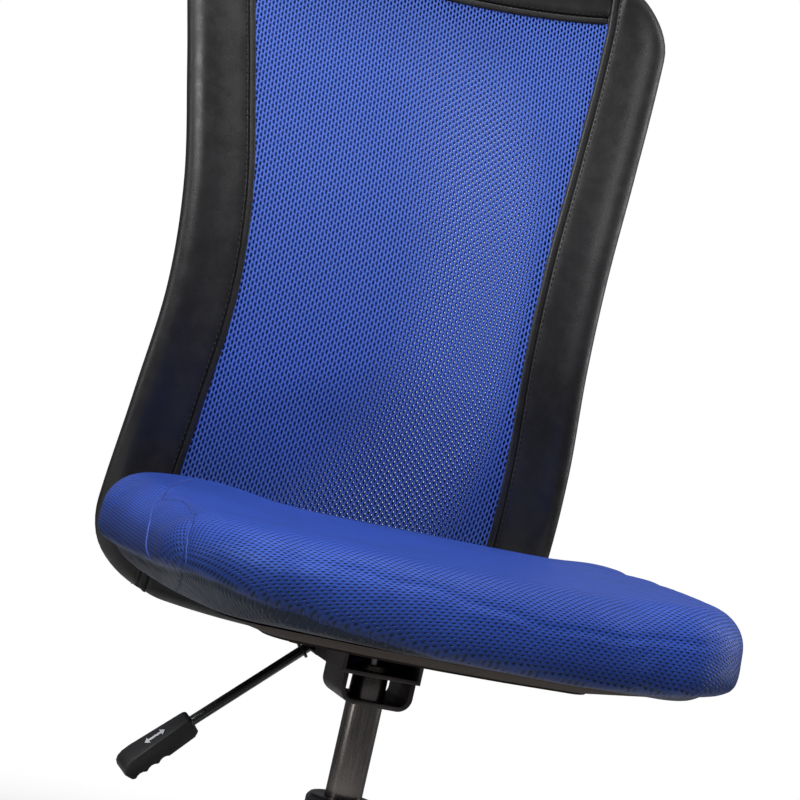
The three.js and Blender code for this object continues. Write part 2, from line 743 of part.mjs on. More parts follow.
// The steel tube runs round inside the border, and its ends meet at the foot plate.
function framePath() {
  const depth = BACK_THICK / 2;
  const half = [
    [8, 378], [92, 381], [132, 388], [158, 412], [164, 450], [159, 530], [152, 620],
    [155, 700], [167, 790], [179, 860], [180, 892], [164, 916], [124, 922], [60, 916], [0, 913],
  ];
  const left = half.map(([x, z]) => [-x, z]);
  const right = half.slice(0, -1).reverse();
  return new THREE.CatmullRomCurve3([...left, ...right].map(([x, z]) => (
    new THREE.Vector3(x, backY(z) + depth, z)
  )), false, 'centripetal');
}

function frameTube(radius) {
  const circle = new THREE.Shape().absarc(0, 0, radius, 0, 2 * Math.PI);
  return new THREE.ExtrudeGeometry(circle, {
    extrudePath: framePath(), steps: 52, curveSegments: 3, bevelEnabled: false,
  });
}

// The foot frame: its origin is in the middle of the bottom border, +y points out of the back.
const footTilt = Math.atan2(backY(FOOT_Z + 15) - backY(FOOT_Z - 15), 30);
const footFrame = new THREE.Matrix4().makeTranslation(0, backY(FOOT_Z) + BACK_THICK / 2, FOOT_Z)
  .multiply(new THREE.Matrix4().makeRotationX(-footTilt));

function footPlate(grow) {
  return block(-26 - grow, 26 + grow, -2.5 - grow, 2.5 + grow, -17 - grow, 16 + grow)
    .applyMatrix4(footFrame);
}

function footScrews(y0, y1, radius, sides = 12) {
  return [-1, 1].map((side) => rodY(side * FOOT_SCREW_X, y0, y1, 0, radius, sides)
    .applyMatrix4(footFrame));
}

function backFrame() {
  return cut(join(frameTube(FRAME_R), footPlate(0)), ...footScrews(-6, 20, 3.3));
}

function borderCuts() {
  const notch = block(-NOTCH_HALF, NOTCH_HALF, 150, 300, 330, NOTCH_TOP);
  return [frameTube(FRAME_R + GAP), footPlate(GAP), notch, ...footScrews(-6, 30, 3.6)];
}

function rearBorder() {
  const front = BACK_THICK / 2 + GAP / 2;
  const whole = join(
    sideBorder(1, front, BACK_THICK), sideBorder(-1, front, BACK_THICK),
    topBorder(front, BACK_THICK, 1.5), bottomBorder(front, BACK_THICK, 1.5),
  );
  return cut(whole, ...borderCuts());
}

function addBackrest() {
  const middle = BACK_THICK / 2 - GAP / 2;
  const cuts = borderCuts();
  add(chair, 'back_frame', backFrame(), barPaint);
  add(chair, 'border_left', cut(sideBorder(1, 0, middle), ...cuts), fauxLeather);
  add(chair, 'border_right', cut(sideBorder(-1, 0, middle), ...cuts), fauxLeather);
  add(chair, 'border_top', cut(topBorder(0, middle, 0), ...cuts), fauxLeather);
  add(chair, 'border_bottom', cut(bottomBorder(0, middle, 0), ...cuts), fauxLeather);
  add(chair, 'border_rear', rearBorder(), fauxLeather);
  add(chair, 'mesh_front', meshPanel(0, MESH_THICK), backMesh);
  add(chair, 'mesh_rear', meshPanel(BACK_THICK - MESH_THICK, BACK_THICK), backMesh);
}

// ---------------------------------------------------------------- back bar

// The bar's lower face, from the mechanism back to the bend and up behind the backrest.
function barLine() {
  const face = BACK_THICK / 2 + BAR_STANDOFF + BAR_THICK;
  const heel = new THREE.Vector3(0, face, -20).applyMatrix4(footFrame);
  const tip = new THREE.Vector3(0, face, 26).applyMatrix4(footFrame);
  const low = CHANNEL_BOTTOM + SHEET + GAP;
  return {
    low, heel, tip, bendStart: [224, 361],
  };
}

function backBar() {
  const { low, heel, tip, bendStart } = barLine();
  const t = BAR_THICK;
  const inward = new THREE.Vector3(0, -t, 0).transformDirection(footFrame).multiplyScalar(t);
  const side = new THREE.Shape();
  side.moveTo(BAR_FRONT, low);
  side.lineTo(112, low);
  side.quadraticCurveTo(120, low, 128, low - 1.2);
  side.lineTo(bendStart[0], bendStart[1]);
  side.quadraticCurveTo(heel.y + 5, bendStart[1] - 3, heel.y, heel.z);
  side.lineTo(tip.y, tip.z);
  side.lineTo(tip.y + inward.y, tip.z + inward.z);
  side.lineTo(heel.y + inward.y, heel.z + inward.z);
  side.quadraticCurveTo(heel.y - 2, bendStart[1] + t - 1, bendStart[0], bendStart[1] + t);
  side.lineTo(128, low + t - 1.2);
  side.quadraticCurveTo(120, low + t, 112, low + t);
  side.lineTo(BAR_FRONT, low + t);
  const bar = sideSlab(side, -BAR_HALF, BAR_HALF, 6);
  const drills = [-1, 1].map((s) => rodZ(s * BAR_BOLT_X, BAR_BOLT_Y, low - 5, low + 10, 3.4, 12));
  return cut(bar, ...drills, ...footScrews(-6, 40, 3.4));
}

function addBarBolts() {
  const barBolt = hexBolt(CHANNEL_BOTTOM + SHEET + BAR_THICK + 2, CHANNEL_BOTTOM - GAP, 4);
  const backScrew = hexBolt(22, 0, 3.5, 5.8);
  [-1, 1].forEach((side, i) => {
    add(chair, `bar_bolt_${i + 1}`, barBolt, blackBolt)
      .position.set(side * BAR_BOLT_X, BAR_BOLT_Y, 0);
    const screw = add(chair, `back_screw_${i + 1}`, backScrew, blackBolt);
    const seat = new THREE.Matrix4().makeTranslation(
      side * FOOT_SCREW_X, BACK_THICK / 2 + BAR_STANDOFF + BAR_THICK + GAP, 0,
    ).multiply(new THREE.Matrix4().makeRotationX(Math.PI / 2));
    screw.applyMatrix4(footFrame.clone().multiply(seat));
  });
}

// ---------------------------------------------------------------- assembly

add(chair, 'base_star', baseStar(), nylon);
addCastors();
add(chair, 'lift_outer_tube', outerTube(), tubePaint);
add(chair, 'lift_guide_bushing', guideBushing(), acetal);
add(chair, 'lift_cylinder', liftCylinder(), liftSteel);
add(chair, 'lift_valve_button', valveButton(), zincSteel);
add(chair, 'lift_rod', liftRod(), zincSteel);
add(chair, 'lift_thrust_bearing', ring(ROD_R + GAP, 14, 68.5, 74), zincSteel);
add(chair, 'lift_retaining_clip', ring(ROD_R + GAP, 9.5, 61.2, 63.4), zincSteel);
add(chair, 'seat_plate', seatPlate(), plateSteel);
add(chair, 'column_hanger', columnHanger(), plateSteel);
add(chair, 'lever_rod', leverRod(), leverSteel);
add(chair, 'lever_clip', leverClip(), blackBolt);
addHandle();
add(chair, 'seat_under_cover', underCover(), dustCover);
add(chair, 'seat_board', seatBoard(), plywood);
add(chair, 'seat_cushion', seatCushion(), seatFabric);
addSeatBolts();
addBackrest();
add(chair, 'back_bar', backBar(), barPaint);
addBarBolts();

export default chair;
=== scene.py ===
import json
import math

import bmesh
import bpy
import numpy as np
from mathutils import Matrix, Vector
from mathutils.bvhtree import BVHTree

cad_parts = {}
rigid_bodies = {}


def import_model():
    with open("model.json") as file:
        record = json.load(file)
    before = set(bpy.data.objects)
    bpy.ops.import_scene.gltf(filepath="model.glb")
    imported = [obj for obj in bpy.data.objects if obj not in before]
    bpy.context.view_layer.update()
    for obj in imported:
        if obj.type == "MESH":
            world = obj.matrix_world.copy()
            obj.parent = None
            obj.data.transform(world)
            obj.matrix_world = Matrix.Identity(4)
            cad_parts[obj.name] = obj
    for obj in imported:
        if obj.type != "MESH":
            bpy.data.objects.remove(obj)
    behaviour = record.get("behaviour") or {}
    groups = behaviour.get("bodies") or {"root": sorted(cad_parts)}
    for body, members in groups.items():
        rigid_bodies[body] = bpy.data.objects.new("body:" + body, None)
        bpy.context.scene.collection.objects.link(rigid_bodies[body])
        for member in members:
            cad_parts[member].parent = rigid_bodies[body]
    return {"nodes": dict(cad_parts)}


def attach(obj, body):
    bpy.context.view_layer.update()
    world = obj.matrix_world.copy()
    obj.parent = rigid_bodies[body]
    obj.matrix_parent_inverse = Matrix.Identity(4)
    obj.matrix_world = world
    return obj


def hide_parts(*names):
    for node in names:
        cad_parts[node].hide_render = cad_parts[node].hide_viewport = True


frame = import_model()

for unwanted in [o for o in bpy.data.objects if o.name in ("Cube", "Light", "Camera")]:
    bpy.data.objects.remove(unwanted)

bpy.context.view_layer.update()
NODES = frame["nodes"]
MM = 0.001

# ---------------------------------------------------------------- sizes shared with the CAD, in mm

LEVER_Y = 57.0
LEVER_PIVOT = np.array([-29.5, LEVER_Y, 379.4])
LEVER_SLOPE = math.radians(43)
LEVER_R = 3.9
HANDLE_START = 112.0
HANDLE_ROLL = math.radians(25)
BUTTON_TOP = 384.0

SEAT_FRONT = -238.0
SEAT_REAR = 156.0
SEAT_CORNER = 82.0
SEAT_BOW = 14.0
CUSHION_BOTTOM = 412.4
CUSHION_TOP = 472.0

BACK_BOTTOM = 360.0
BACK_TOP = 944.0
BACK_THICK = 22.0
BORDER = 53.0
CORNER_LOW = 70.0
CORNER_HIGH = 56.0
WINDOW_BOTTOM = 412.0
WINDOW_TOP = 905.0
TOP_DIP = 14.0
BOTTOM_RISE = 11.5
NOTCH_HALF = 29.0
NOTCH_TOP = 372.5

# ---------------------------------------------------------------- mesh making


def link(obj):
    bpy.context.scene.collection.objects.link(obj)
    return obj


def mesh_object(name, verts, faces, angle=38):
    """A smooth-shaded object from points in mm, with edges sharper than angle kept sharp."""
    mesh = bpy.data.meshes.new(name)
    mesh.from_pydata((np.asarray(verts, float) * MM).tolist(), [], faces)
    mesh.update()
    obj = link(bpy.data.objects.new(name, mesh))
    shade(obj, angle)
    return obj


def shade(obj, angle):
    obj.data.shade_smooth()
    obj.data.set_sharp_from_angle(angle=math.radians(angle))


def clean(obj, distance=0.02):
    """Merges points that coincide and turns every face outwards."""
    bm = bmesh.new()
    bm.from_mesh(obj.data)
    bmesh.ops.remove_doubles(bm, verts=bm.verts, dist=distance * MM)
    bmesh.ops.dissolve_degenerate(bm, edges=bm.edges, dist=distance * MM * 0.2)
    bmesh.ops.recalc_face_normals(bm, faces=bm.faces)
    bm.to_mesh(obj.data)
    bm.free()


def evaluated(obj):
    """Replaces an object's mesh with what its modifiers make of it."""
    graph = bpy.context.evaluated_depsgraph_get()
    mesh = bpy.data.meshes.new_from_object(obj.evaluated_get(graph))
    obj.modifiers.clear()
    old = obj.data
    obj.data = mesh
    bpy.data.meshes.remove(old)


def grid_faces(rows, cols, closed=False):
    """The quads of a grid of points, stored row by row; closed joins each row into a ring."""
    faces = []
    for i in range(rows - 1):
        for j in range(cols if closed else cols - 1):
            k = (j + 1) % cols
            a, b = i * cols + j, i * cols + k
            faces.append((a, b, b + cols, a + cols))
    return faces


def sweep(path, radius, sides, taper=None):
    """Points and faces of a round tube along a path, closed at both ends."""
    path = np.asarray(path, float)
    tangents = np.gradient(path, axis=0)
    tangents /= np.linalg.norm(tangents, axis=1)[:, None]
    normal = np.cross(tangents[0], [0.0, 0.0, 1.0])
    if np.linalg.norm(normal) < 1e-3:
        normal = np.cross(tangents[0], [0.0, 1.0, 0.0])
    normal /= np.linalg.norm(normal)
    verts = []
    for i, (point, tangent) in enumerate(zip(path, tangents)):
        normal = normal - tangent * normal.dot(tangent)
        normal /= np.linalg.norm(normal)
        other = np.cross(tangent, normal)
        r = radius if taper is None else radius * taper[i]
        for k in range(sides):
            turn = 2 * math.pi * k / sides
            verts.append(point + r * (math.cos(turn) * normal + math.sin(turn) * other))
    faces = grid_faces(len(path), sides, closed=True)
    faces.append(tuple(range(sides))[::-1])
    last = (len(path) - 1) * sides
    faces.append(tuple(range(last, last + sides)))
    return verts, faces


def tube(name, path, radius, sides):
    verts, faces = sweep(path, radius, sides)
    obj = mesh_object(name, verts, faces)
    clean(obj)
    shade(obj, 50)
    return obj


def spline(points, steps=40):
    """The centripetal Catmull-Rom curve that the CAD uses, as a dense polyline."""
    p = [np.asarray(q, float) for q in points]
    p = [2 * p[0] - p[1]] + p + [2 * p[-1] - p[-2]]
    out = []
    for i in range(1, len(p) - 2):
        gaps = [math.sqrt(np.linalg.norm(p[i + k] - p[i + k - 1])) for k in range(3)]
        d0, d1, d2 = gaps
        a, b, c, d = p[i - 1:i + 3]
        t1 = ((b - a) / d0 - (c - a) / (d0 + d1) + (c - b) / d1) * d1
        t2 = ((c - b) / d1 - (d - b) / (d1 + d2) + (d - c) / d2) * d1
        for k in range(steps):
            t = k / steps
            out.append(b + t1 * t + (3 * (c - b) - 2 * t1 - t2) * t * t
                       + (2 * (b - c) + t1 + t2) * t ** 3)
    out.append(p[-2])
    return np.array(out)


def smooth(x):
    x = np.clip(x, 0, 1)
    return x * x * (3 - 2 * x)


# ---------------------------------------------------------------- node trees


class Tree:
    """Short calls for building a material's nodes."""

    def __init__(self, name, roughness=0.5, metallic=0.0, specular=0.5):
        self.material = bpy.data.materials.new(name)
        self.material.use_nodes = True
        self.nodes = self.material.node_tree.nodes
        self.links = self.material.node_tree.links
        self.shader = self.nodes["Principled BSDF"]
        self.set(self.shader, Roughness=roughness, Metallic=metallic)
        self.shader.inputs["Specular IOR Level"].default_value = specular
        self.place = self.nodes.new("ShaderNodeTexCoord").outputs["Object"]

    def set(self, node, **values):
        for key, value in values.items():
            socket = node.inputs[key.replace("_", " ")]
            if isinstance(value, bpy.types.NodeSocket):
                self.links.new(value, socket)
            elif isinstance(value, tuple) and len(value) == 3 and socket.type == "RGBA":
                socket.default_value = (*value, 1)
            else:
                socket.default_value = value
        return node

    def math(self, kind, a, b=0.0, c=0.0):
        node = self.nodes.new("ShaderNodeMath")
        node.operation = kind
        for socket, value in zip(node.inputs, (a, b, c)):
            if isinstance(value, bpy.types.NodeSocket):
                self.links.new(value, socket)
            else:
                socket.default_value = value
        return node.outputs[0]

    def noise(self, scale, detail=2.0, roughness=0.5, where=None):
        node = self.nodes.new("ShaderNodeTexNoise")
        self.set(node, Vector=where or self.place, Scale=scale, Detail=detail, Roughness=roughness)
        return node.outputs["Fac"]

    def cells(self, scale):
        node = self.nodes.new("ShaderNodeTexVoronoi")
        self.set(node, Vector=self.place, Scale=scale)
        return node.outputs["Distance"]

    def stretched(self, x, y, z):
        node = self.nodes.new("ShaderNodeMapping")
        self.set(node, Vector=self.place, Scale=(x, y, z))
        return node.outputs[0]

    def attribute(self, name):
        node = self.nodes.new("ShaderNodeAttribute")
        node.attribute_name = name
        return node

    def split(self, vector):
        node = self.nodes.new("ShaderNodeSeparateXYZ")
        self.links.new(vector, node.inputs[0])
        return node.outputs

    def remap(self, value, low, high, to_low=0.0, to_high=1.0):
        node = self.nodes.new("ShaderNodeMapRange")
        node.interpolation_type = "SMOOTHSTEP"
        self.links.new(value, node.inputs[0])
        for socket, number in zip(list(node.inputs)[1:5], (low, high, to_low, to_high)):
            socket.default_value = number
        return node.outputs[0]

    def mix(self, amount, a, b, kind="MIX"):
        node = self.nodes.new("ShaderNodeMix")
        node.data_type = "RGBA"
        node.blend_type = kind
        for socket, value in ((node.inputs[0], amount), (node.inputs[6], a), (node.inputs[7], b)):
            if isinstance(value, bpy.types.NodeSocket):
                self.links.new(value, socket)
            elif isinstance(value, tuple):
                socket.default_value = (*value, 1)
            else:
                socket.default_value = value
        return node.outputs[2]

    def length(self, a, b):
        squares = self.math("MULTIPLY", a, a), self.math("MULTIPLY", b, b)
        return self.math("SQRT", self.math("ADD", *squares))

    def dim(self, colour, amount):
        """The colour times a grey from 0 to 1."""
        return self.mix(1.0, colour, self.mix(amount, (0, 0, 0), (1, 1, 1)), "MULTIPLY")

    def bump(self, height, distance, strength=1.0, after=None):
        node = self.nodes.new("ShaderNodeBump")
        self.links.new(height, node.inputs["Height"])
        node.inputs["Distance"].default_value = distance
        node.inputs["Strength"].default_value = strength
        if after is not None:
            self.links.new(after, node.inputs["Normal"])
        return node.outputs[0]

    def colour(self, value):
        self.set(self.shader, Base_Color=value)

    def normal(self, value):
        self.links.new(value, self.shader.inputs["Normal"])


def linear(r, g, b):
    """A linear colour from an sRGB one in 0..255."""
    def one(v):
        v /= 255
        return v / 12.92 if v <= 0.04045 else ((v + 0.055) / 1.055) ** 2.4
    return one(r), one(g), one(b)


def moulded(name, dark, light, roughness, grain=900.0, depth=0.00008):
    """Moulded plastic: fine spark-eroded grain and slightly uneven gloss."""
    t = Tree(name, roughness, specular=0.4)
    cloud = t.noise(28, 3)
    t.colour(t.mix(cloud, dark, light))
    rough = t.remap(t.noise(60, 2), 0.3, 0.7, roughness - 0.06, roughness + 0.07)
    t.links.new(rough, t.shader.inputs["Roughness"])
    t.normal(t.bump(t.noise(grain, 3, 0.6), depth, 0.5))
    return t.material


def painted(name, dark, light, roughness, metallic=0.0, coat=0.0):
    """Powder coat or lacquer on steel: orange peel, and dust in broad patches."""
    t = Tree(name, roughness, metallic)
    dust = t.remap(t.noise(14, 4, 0.6), 0.35, 0.72)
    t.colour(t.mix(dust, dark, light))
    rough = t.remap(t.noise(90, 3), 0.3, 0.7, roughness - 0.05, roughness + 0.08)
    t.links.new(rough, t.shader.inputs["Roughness"])
    t.normal(t.bump(t.noise(420, 2), 0.00007, 0.6))
    if coat:
        t.shader.inputs["Coat Weight"].default_value = coat
        t.shader.inputs["Coat Roughness"].default_value = 0.12
    return t.material


def bare_steel(name, tone, roughness, across=(1, 1, 0.03)):
    """Machined or plated steel with fine lines."""
    t = Tree(name, roughness, 1.0)
    lines = t.noise(1400, 2, 0.6, t.stretched(*across))
    t.colour(t.mix(lines, tuple(0.85 * v for v in tone), tuple(min(1, 1.12 * v) for v in tone)))
    rough = t.remap(lines, 0.3, 0.7, roughness - 0.06, roughness + 0.08)
    t.links.new(rough, t.shader.inputs["Roughness"])
    t.normal(t.bump(lines, 0.00002, 0.5))
    return t.material


def leather(name):
    """Soft black faux leather: pebbled grain, creases between the pebbles, worn sheen."""
    t = Tree(name, 0.42, specular=0.5)
    pebbles = t.cells(1150)
    fine = t.noise(2600, 2)
    creases = t.noise(70, 4, 0.65)
    height = t.math("ADD", t.math("MULTIPLY", pebbles, -0.7), t.math("MULTIPLY", fine, 0.25))
    patch = t.remap(t.noise(9, 3), 0.3, 0.7)
    t.colour(t.mix(patch, linear(26, 25, 26), linear(35, 34, 35)))
    rough = t.remap(creases, 0.35, 0.7, 0.34, 0.5)
    t.links.new(rough, t.shader.inputs["Roughness"])
    soft = t.bump(creases, 0.0006, 0.25)
    t.normal(t.bump(height, 0.00016, 0.45, soft))
    return t.material


NET_ROW = 0.00285
KNIT_REPEAT, KNIT_ROW = 0.0054, 0.00255


def knit(t, along, across, repeat, row, hole_along, hole_across):
    """1 at the rim of each hole of a staggered knit, 0 at its middle, rising to the yarn."""
    line = t.math("DIVIDE", across, row)
    index = t.math("FLOOR", line)
    shift = t.math("MULTIPLY", t.math("MODULO", index, 2.0), 0.5)
    step = t.math("ADD", t.math("DIVIDE", along, repeat), shift)
    u = t.math("SUBTRACT", t.math("FRACT", step), 0.5)
    v = t.math("SUBTRACT", t.math("FRACT", line), 0.5)
    u = t.math("DIVIDE", u, hole_along)
    v = t.math("DIVIDE", v, hole_across)
    return t.length(u, v), step, line


def net(name, hole, dark):
    """The backrest's open net: see-through staggered holes between twisted yarns."""
    t = Tree(name, 0.62, specular=0.25)
    x, _, z = t.split(t.place)
    stretch = t.math("ADD", t.math("MULTIPLY", z, 60.0), 112.0)  # finer towards the top
    ring, step, line = knit(t, t.math("MULTIPLY", z, stretch), t.math("ADD", x, 1.0),
                            1.0, NET_ROW, hole[0], hole[1])
    # Painted highlight: the yarn is lighter on its tops than at the rims of its holes, and the
    # twist term adds lighter diagonal bands along it.
    twist_highlight = t.math("SINE", t.math("MULTIPLY", t.math("ADD", step, line), 2 * math.pi))
    yarn = t.remap(ring, 0.95, 1.75)
    tone = t.math("ADD", t.math("MULTIPLY", yarn, 0.75), t.math("MULTIPLY", twist_highlight, 0.18))
    cloud = t.remap(t.noise(7, 3), 0.3, 0.7, 0.84, 1.08)
    # Painted light and shade: darker towards its foot, brighter above it, and a little darker again
    # towards its top.
    cloud = t.math("MULTIPLY", cloud, t.remap(z, 0.5, 0.66, 0.76, 1.2))
    cloud = t.math("MULTIPLY", cloud, t.remap(z, 0.78, 0.9, 1.0, 0.86))
    base = t.mix(tone, linear(30, 54, 146), linear(96, 136, 240))
    # For the rear net, dark mixes in a navy that is painted shade, as if in the front net's shadow.
    t.colour(t.mix(dark, t.dim(base, cloud), linear(18, 30, 82)))
    height = t.math("ADD", yarn, t.math("MULTIPLY", t.noise(2200, 2), 0.3))
    t.normal(t.bump(height, 0.0005, 0.7))
    solid = t.remap(ring, 0.86, 1.0)
    t.links.new(solid, t.shader.inputs["Alpha"])
    return t.material


def air_mesh(name):
    """The seat's padded knit, with the dark cloth below its lower seam."""
    t = Tree(name, 0.45, specular=0.6)
    t.shader.inputs["Specular Tint"].default_value = (0.35, 0.55, 1, 1)
    along, across, edge = t.split(t.attribute("weave").outputs["Vector"])
    ring, step, line = knit(t, along, across, KNIT_REPEAT, KNIT_ROW, 0.25, 0.24)
    # Painted highlight and shade: the yarn is lighter on its tops and a near-black navy in its
    # holes, and the twist term adds lighter diagonal bands along it.
    twist_highlight = t.math("SINE", t.math("MULTIPLY", t.math("SUBTRACT", step, line), 2 * math.pi))
    yarn = t.remap(ring, 0.5, 1.6)
    tone = t.math("ADD", t.math("MULTIPLY", yarn, 0.8), t.math("MULTIPLY", twist_highlight, 0.14))
    cloud = t.remap(t.noise(11, 3), 0.3, 0.7, 0.85, 1.1)
    # Painted shade: the knit darkens over its last 42 mm above the lower seam, where the cushion's
    # sides turn down and away from the light.
    cloud = t.math("MULTIPLY", cloud, t.remap(edge, 0.0, 0.042, 0.28, 1.0))
    base = t.mix(tone, linear(4, 6, 32), linear(57, 93, 206))
    blue = t.dim(base, cloud)
    ripple = t.math("MULTIPLY", t.math("SUBTRACT", t.noise(85, 2), 0.5), 0.004)
    under = t.remap(t.math("ADD", edge, ripple), -0.0004, 0.0004, 1.0, 0.0)
    dark = t.mix(t.noise(70, 3), linear(8, 7, 7), linear(22, 18, 16))
    t.colour(t.mix(under, blue, dark))
    height = t.math("ADD", yarn, t.math("MULTIPLY", t.noise(2000, 2), 0.25))
    t.normal(t.bump(height, 0.0007, 0.8))
    return t.material


def cloth_sheet(name):
    """The dust cover under the seat: a non-woven sheet with a pressed dot pattern."""
    t = Tree(name, 0.85, specular=0.2)
    dots = t.cells(420)
    t.colour(t.mix(t.noise(40, 3), linear(40, 34, 32), linear(64, 56, 52)))
    t.normal(t.bump(dots, 0.0002, 0.5))
    return t.material


def plywood(name):
    """The seat board, seen only at its edge: thin plies."""
    t = Tree(name, 0.75, specular=0.25)
    plies = t.noise(60, 3, 0.5, t.stretched(0.4, 0.4, 22))
    t.colour(t.mix(plies, linear(44, 37, 33), linear(76, 64, 56)))
    t.normal(t.bump(plies, 0.0002, 0.5))
    return t.material


MATERIALS = {
    "nylon": moulded("nylon", linear(26, 26, 28), linear(36, 36, 38), 0.48),
    "wheel_nylon": moulded("wheel_nylon", linear(30, 30, 33), linear(42, 42, 45), 0.4),
    "zinc_steel": bare_steel("zinc_steel", (0.55, 0.56, 0.58), 0.3),
    "tube_paint": painted("tube_paint", linear(24, 24, 25), linear(36, 35, 36), 0.34),
    "lift_steel": bare_steel("lift_steel", (0.24, 0.215, 0.2), 0.25, (1, 1, 0.02)),
    "acetal": moulded("acetal", linear(30, 29, 31), linear(44, 43, 45), 0.36),
    "plate_steel": painted("plate_steel", linear(46, 41, 39), linear(74, 66, 63), 0.4, 0.25),
    "bar_paint": painted("bar_paint", linear(22, 22, 23), linear(33, 32, 33), 0.42),
    "lever_steel": painted("lever_steel", linear(10, 10, 10), linear(18, 18, 19), 0.2, coat=0.6),
    "handle_plastic": moulded("handle_plastic", linear(27, 27, 28), linear(38, 38, 39), 0.45),
    "plywood": plywood("plywood"),
    "dust_cover": cloth_sheet("dust_cover"),
    "seat_fabric": air_mesh("seat_fabric"),
    "faux_leather": leather("faux_leather"),
    "black_bolt": painted("black_bolt", linear(34, 33, 34), linear(60, 58, 58), 0.35, 0.8),
}
NET_FRONT = net("back_mesh", (0.33, 0.27), 0.0)
# The rear net is half darkened towards navy: painted shade for lying behind the front net.
NET_REAR = net("back_mesh_rear", (0.12, 0.1), 0.5)


def thread(name, dark, light, roughness):
    return moulded(name, dark, light, roughness, 1500, 0.0002)


SEAM_THREAD = thread("seam_thread", linear(28, 44, 118), linear(72, 100, 190), 0.5)
DARK_THREAD = thread("dark_thread", linear(9, 9, 9), linear(22, 20, 18), 0.6)
GREY_THREAD = thread("grey_thread", linear(116, 113, 110), linear(160, 156, 152), 0.55)
WHITE_INK = moulded("white_ink", linear(205, 208, 212), linear(232, 234, 238), 0.5)

# ---------------------------------------------------------------- CAD pieces that stay


def geometry_group(name):
    """An empty node group for a geometry modifier, with its input and output nodes."""
    group = bpy.data.node_groups.new(name, "GeometryNodeTree")
    for way in ("INPUT", "OUTPUT"):
        group.interface.new_socket("Geometry", in_out=way, socket_type="NodeSocketGeometry")
    return group, group.nodes.new("NodeGroupInput"), group.nodes.new("NodeGroupOutput")


def tidy_shading(angle):
    """A node group that shades a CAD node smooth across edges shallower than angle."""
    group, source, result = geometry_group("smooth_by_angle")
    make, wire = group.nodes.new, group.links.new
    faces = make("GeometryNodeSetShadeSmooth")
    faces.domain = "FACE"
    edges = make("GeometryNodeSetShadeSmooth")
    edges.domain = "EDGE"
    bend = make("GeometryNodeInputMeshEdgeAngle")
    shallow = make("ShaderNodeMath")
    shallow.operation = "LESS_THAN"
    shallow.inputs[1].default_value = math.radians(angle)
    wire(bend.outputs[0], shallow.inputs[0])
    wire(source.outputs[0], faces.inputs["Geometry"])
    wire(faces.outputs[0], edges.inputs["Geometry"])
    wire(shallow.outputs[0], edges.inputs["Shade Smooth"])
    wire(edges.outputs[0], result.inputs[0])
    return group


def weld_group():
    """A node group that joins the corners that the CAD mesh splits between its faces."""
    group, source, result = geometry_group("weld_corners")
    make, wire = group.nodes.new, group.links.new
    drop = make("GeometryNodeRemoveAttribute")
    drop.inputs["Name"].default_value = "custom_normal"
    merge = make("GeometryNodeMergeByDistance")
    merge.inputs["Distance"].default_value = 0.00001
    wire(source.outputs[0], drop.inputs[0])
    wire(drop.outputs[0], merge.inputs["Geometry"])
    wire(merge.outputs[0], result.inputs[0])
    return group


WELD = weld_group()
SMOOTH = {angle: tidy_shading(angle) for angle in (32, 50)}


def finish_cad(name, bevel, angle):
    """Gives a CAD node rounded edges and its own material."""
    obj = NODES[name]
    slot_name = obj.data.materials[0].name.split(".")[0]
    obj.material_slots[0].material = MATERIALS[slot_name]
    obj.modifiers.new("weld", "NODES").node_group = WELD
    if bevel:
        edge = obj.modifiers.new("edges", "BEVEL")
        edge.width = bevel * MM
        edge.segments = 2
        edge.limit_method = "ANGLE"
        edge.angle_limit = math.radians(38)
        edge.use_clamp_overlap = True
    obj.modifiers.new("shading", "NODES").node_group = SMOOTH[angle]


SOFT_NODES = {"seat_cushion", "border_left", "border_right", "border_top", "border_bottom",
              "border_rear", "mesh_front", "mesh_rear", "lever_rod"}
BEVELS = {"base_star": 1.2, "seat_plate": 0.7, "column_hanger": 0.7, "back_bar": 0.8,
          "lever_handle": 0.6, "lift_guide_bushing": 0.5, "seat_board": 1.5, "lift_outer_tube": 0.3}


def bevel_width(name):
    """The width in mm of the rounding on a CAD node's edges."""
    if name.startswith("castor") and "_hood" in name:
        return 0.6
    if "_wheel_" in name:
        return 0.8
    return BEVELS.get(name, 0.15)


for node_name in NODES:
    if node_name not in SOFT_NODES:
        wide = 50 if node_name.startswith(("castor", "lift")) else 32
        finish_cad(node_name, bevel_width(node_name), wide)

# ---------------------------------------------------------------- height lever


def along_lever(distance):
    return LEVER_PIVOT + distance * np.array([-math.cos(LEVER_SLOPE), 0, -math.sin(LEVER_SLOPE)])


def make_lever():
    level = BUTTON_TOP + LEVER_R + 0.5
    path = spline([
        along_lever(HANDLE_START + 17), along_lever(HANDLE_START - 10), along_lever(60),
        along_lever(12), along_lever(-2), (-21, 55, level - 0.5), (-12, 41, level),
        (-3, 12, level), (1, -9, level),
    ], 10)
    rod = tube("lever_rod_round", path, LEVER_R, 24)
    rod.data.materials.append(MATERIALS["lever_steel"])
    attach(rod, "lever")
    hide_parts("lever_rod")


def handle_frame():
    along = np.array([-math.cos(LEVER_SLOPE), 0, -math.sin(LEVER_SLOPE)])
    up = np.array([along[2], 0, -along[0]])
    top = up * math.cos(HANDLE_ROLL) + np.array([0, -1, 0]) * math.sin(HANDLE_ROLL)
    return along_lever(HANDLE_START), along, np.cross(top, along), top


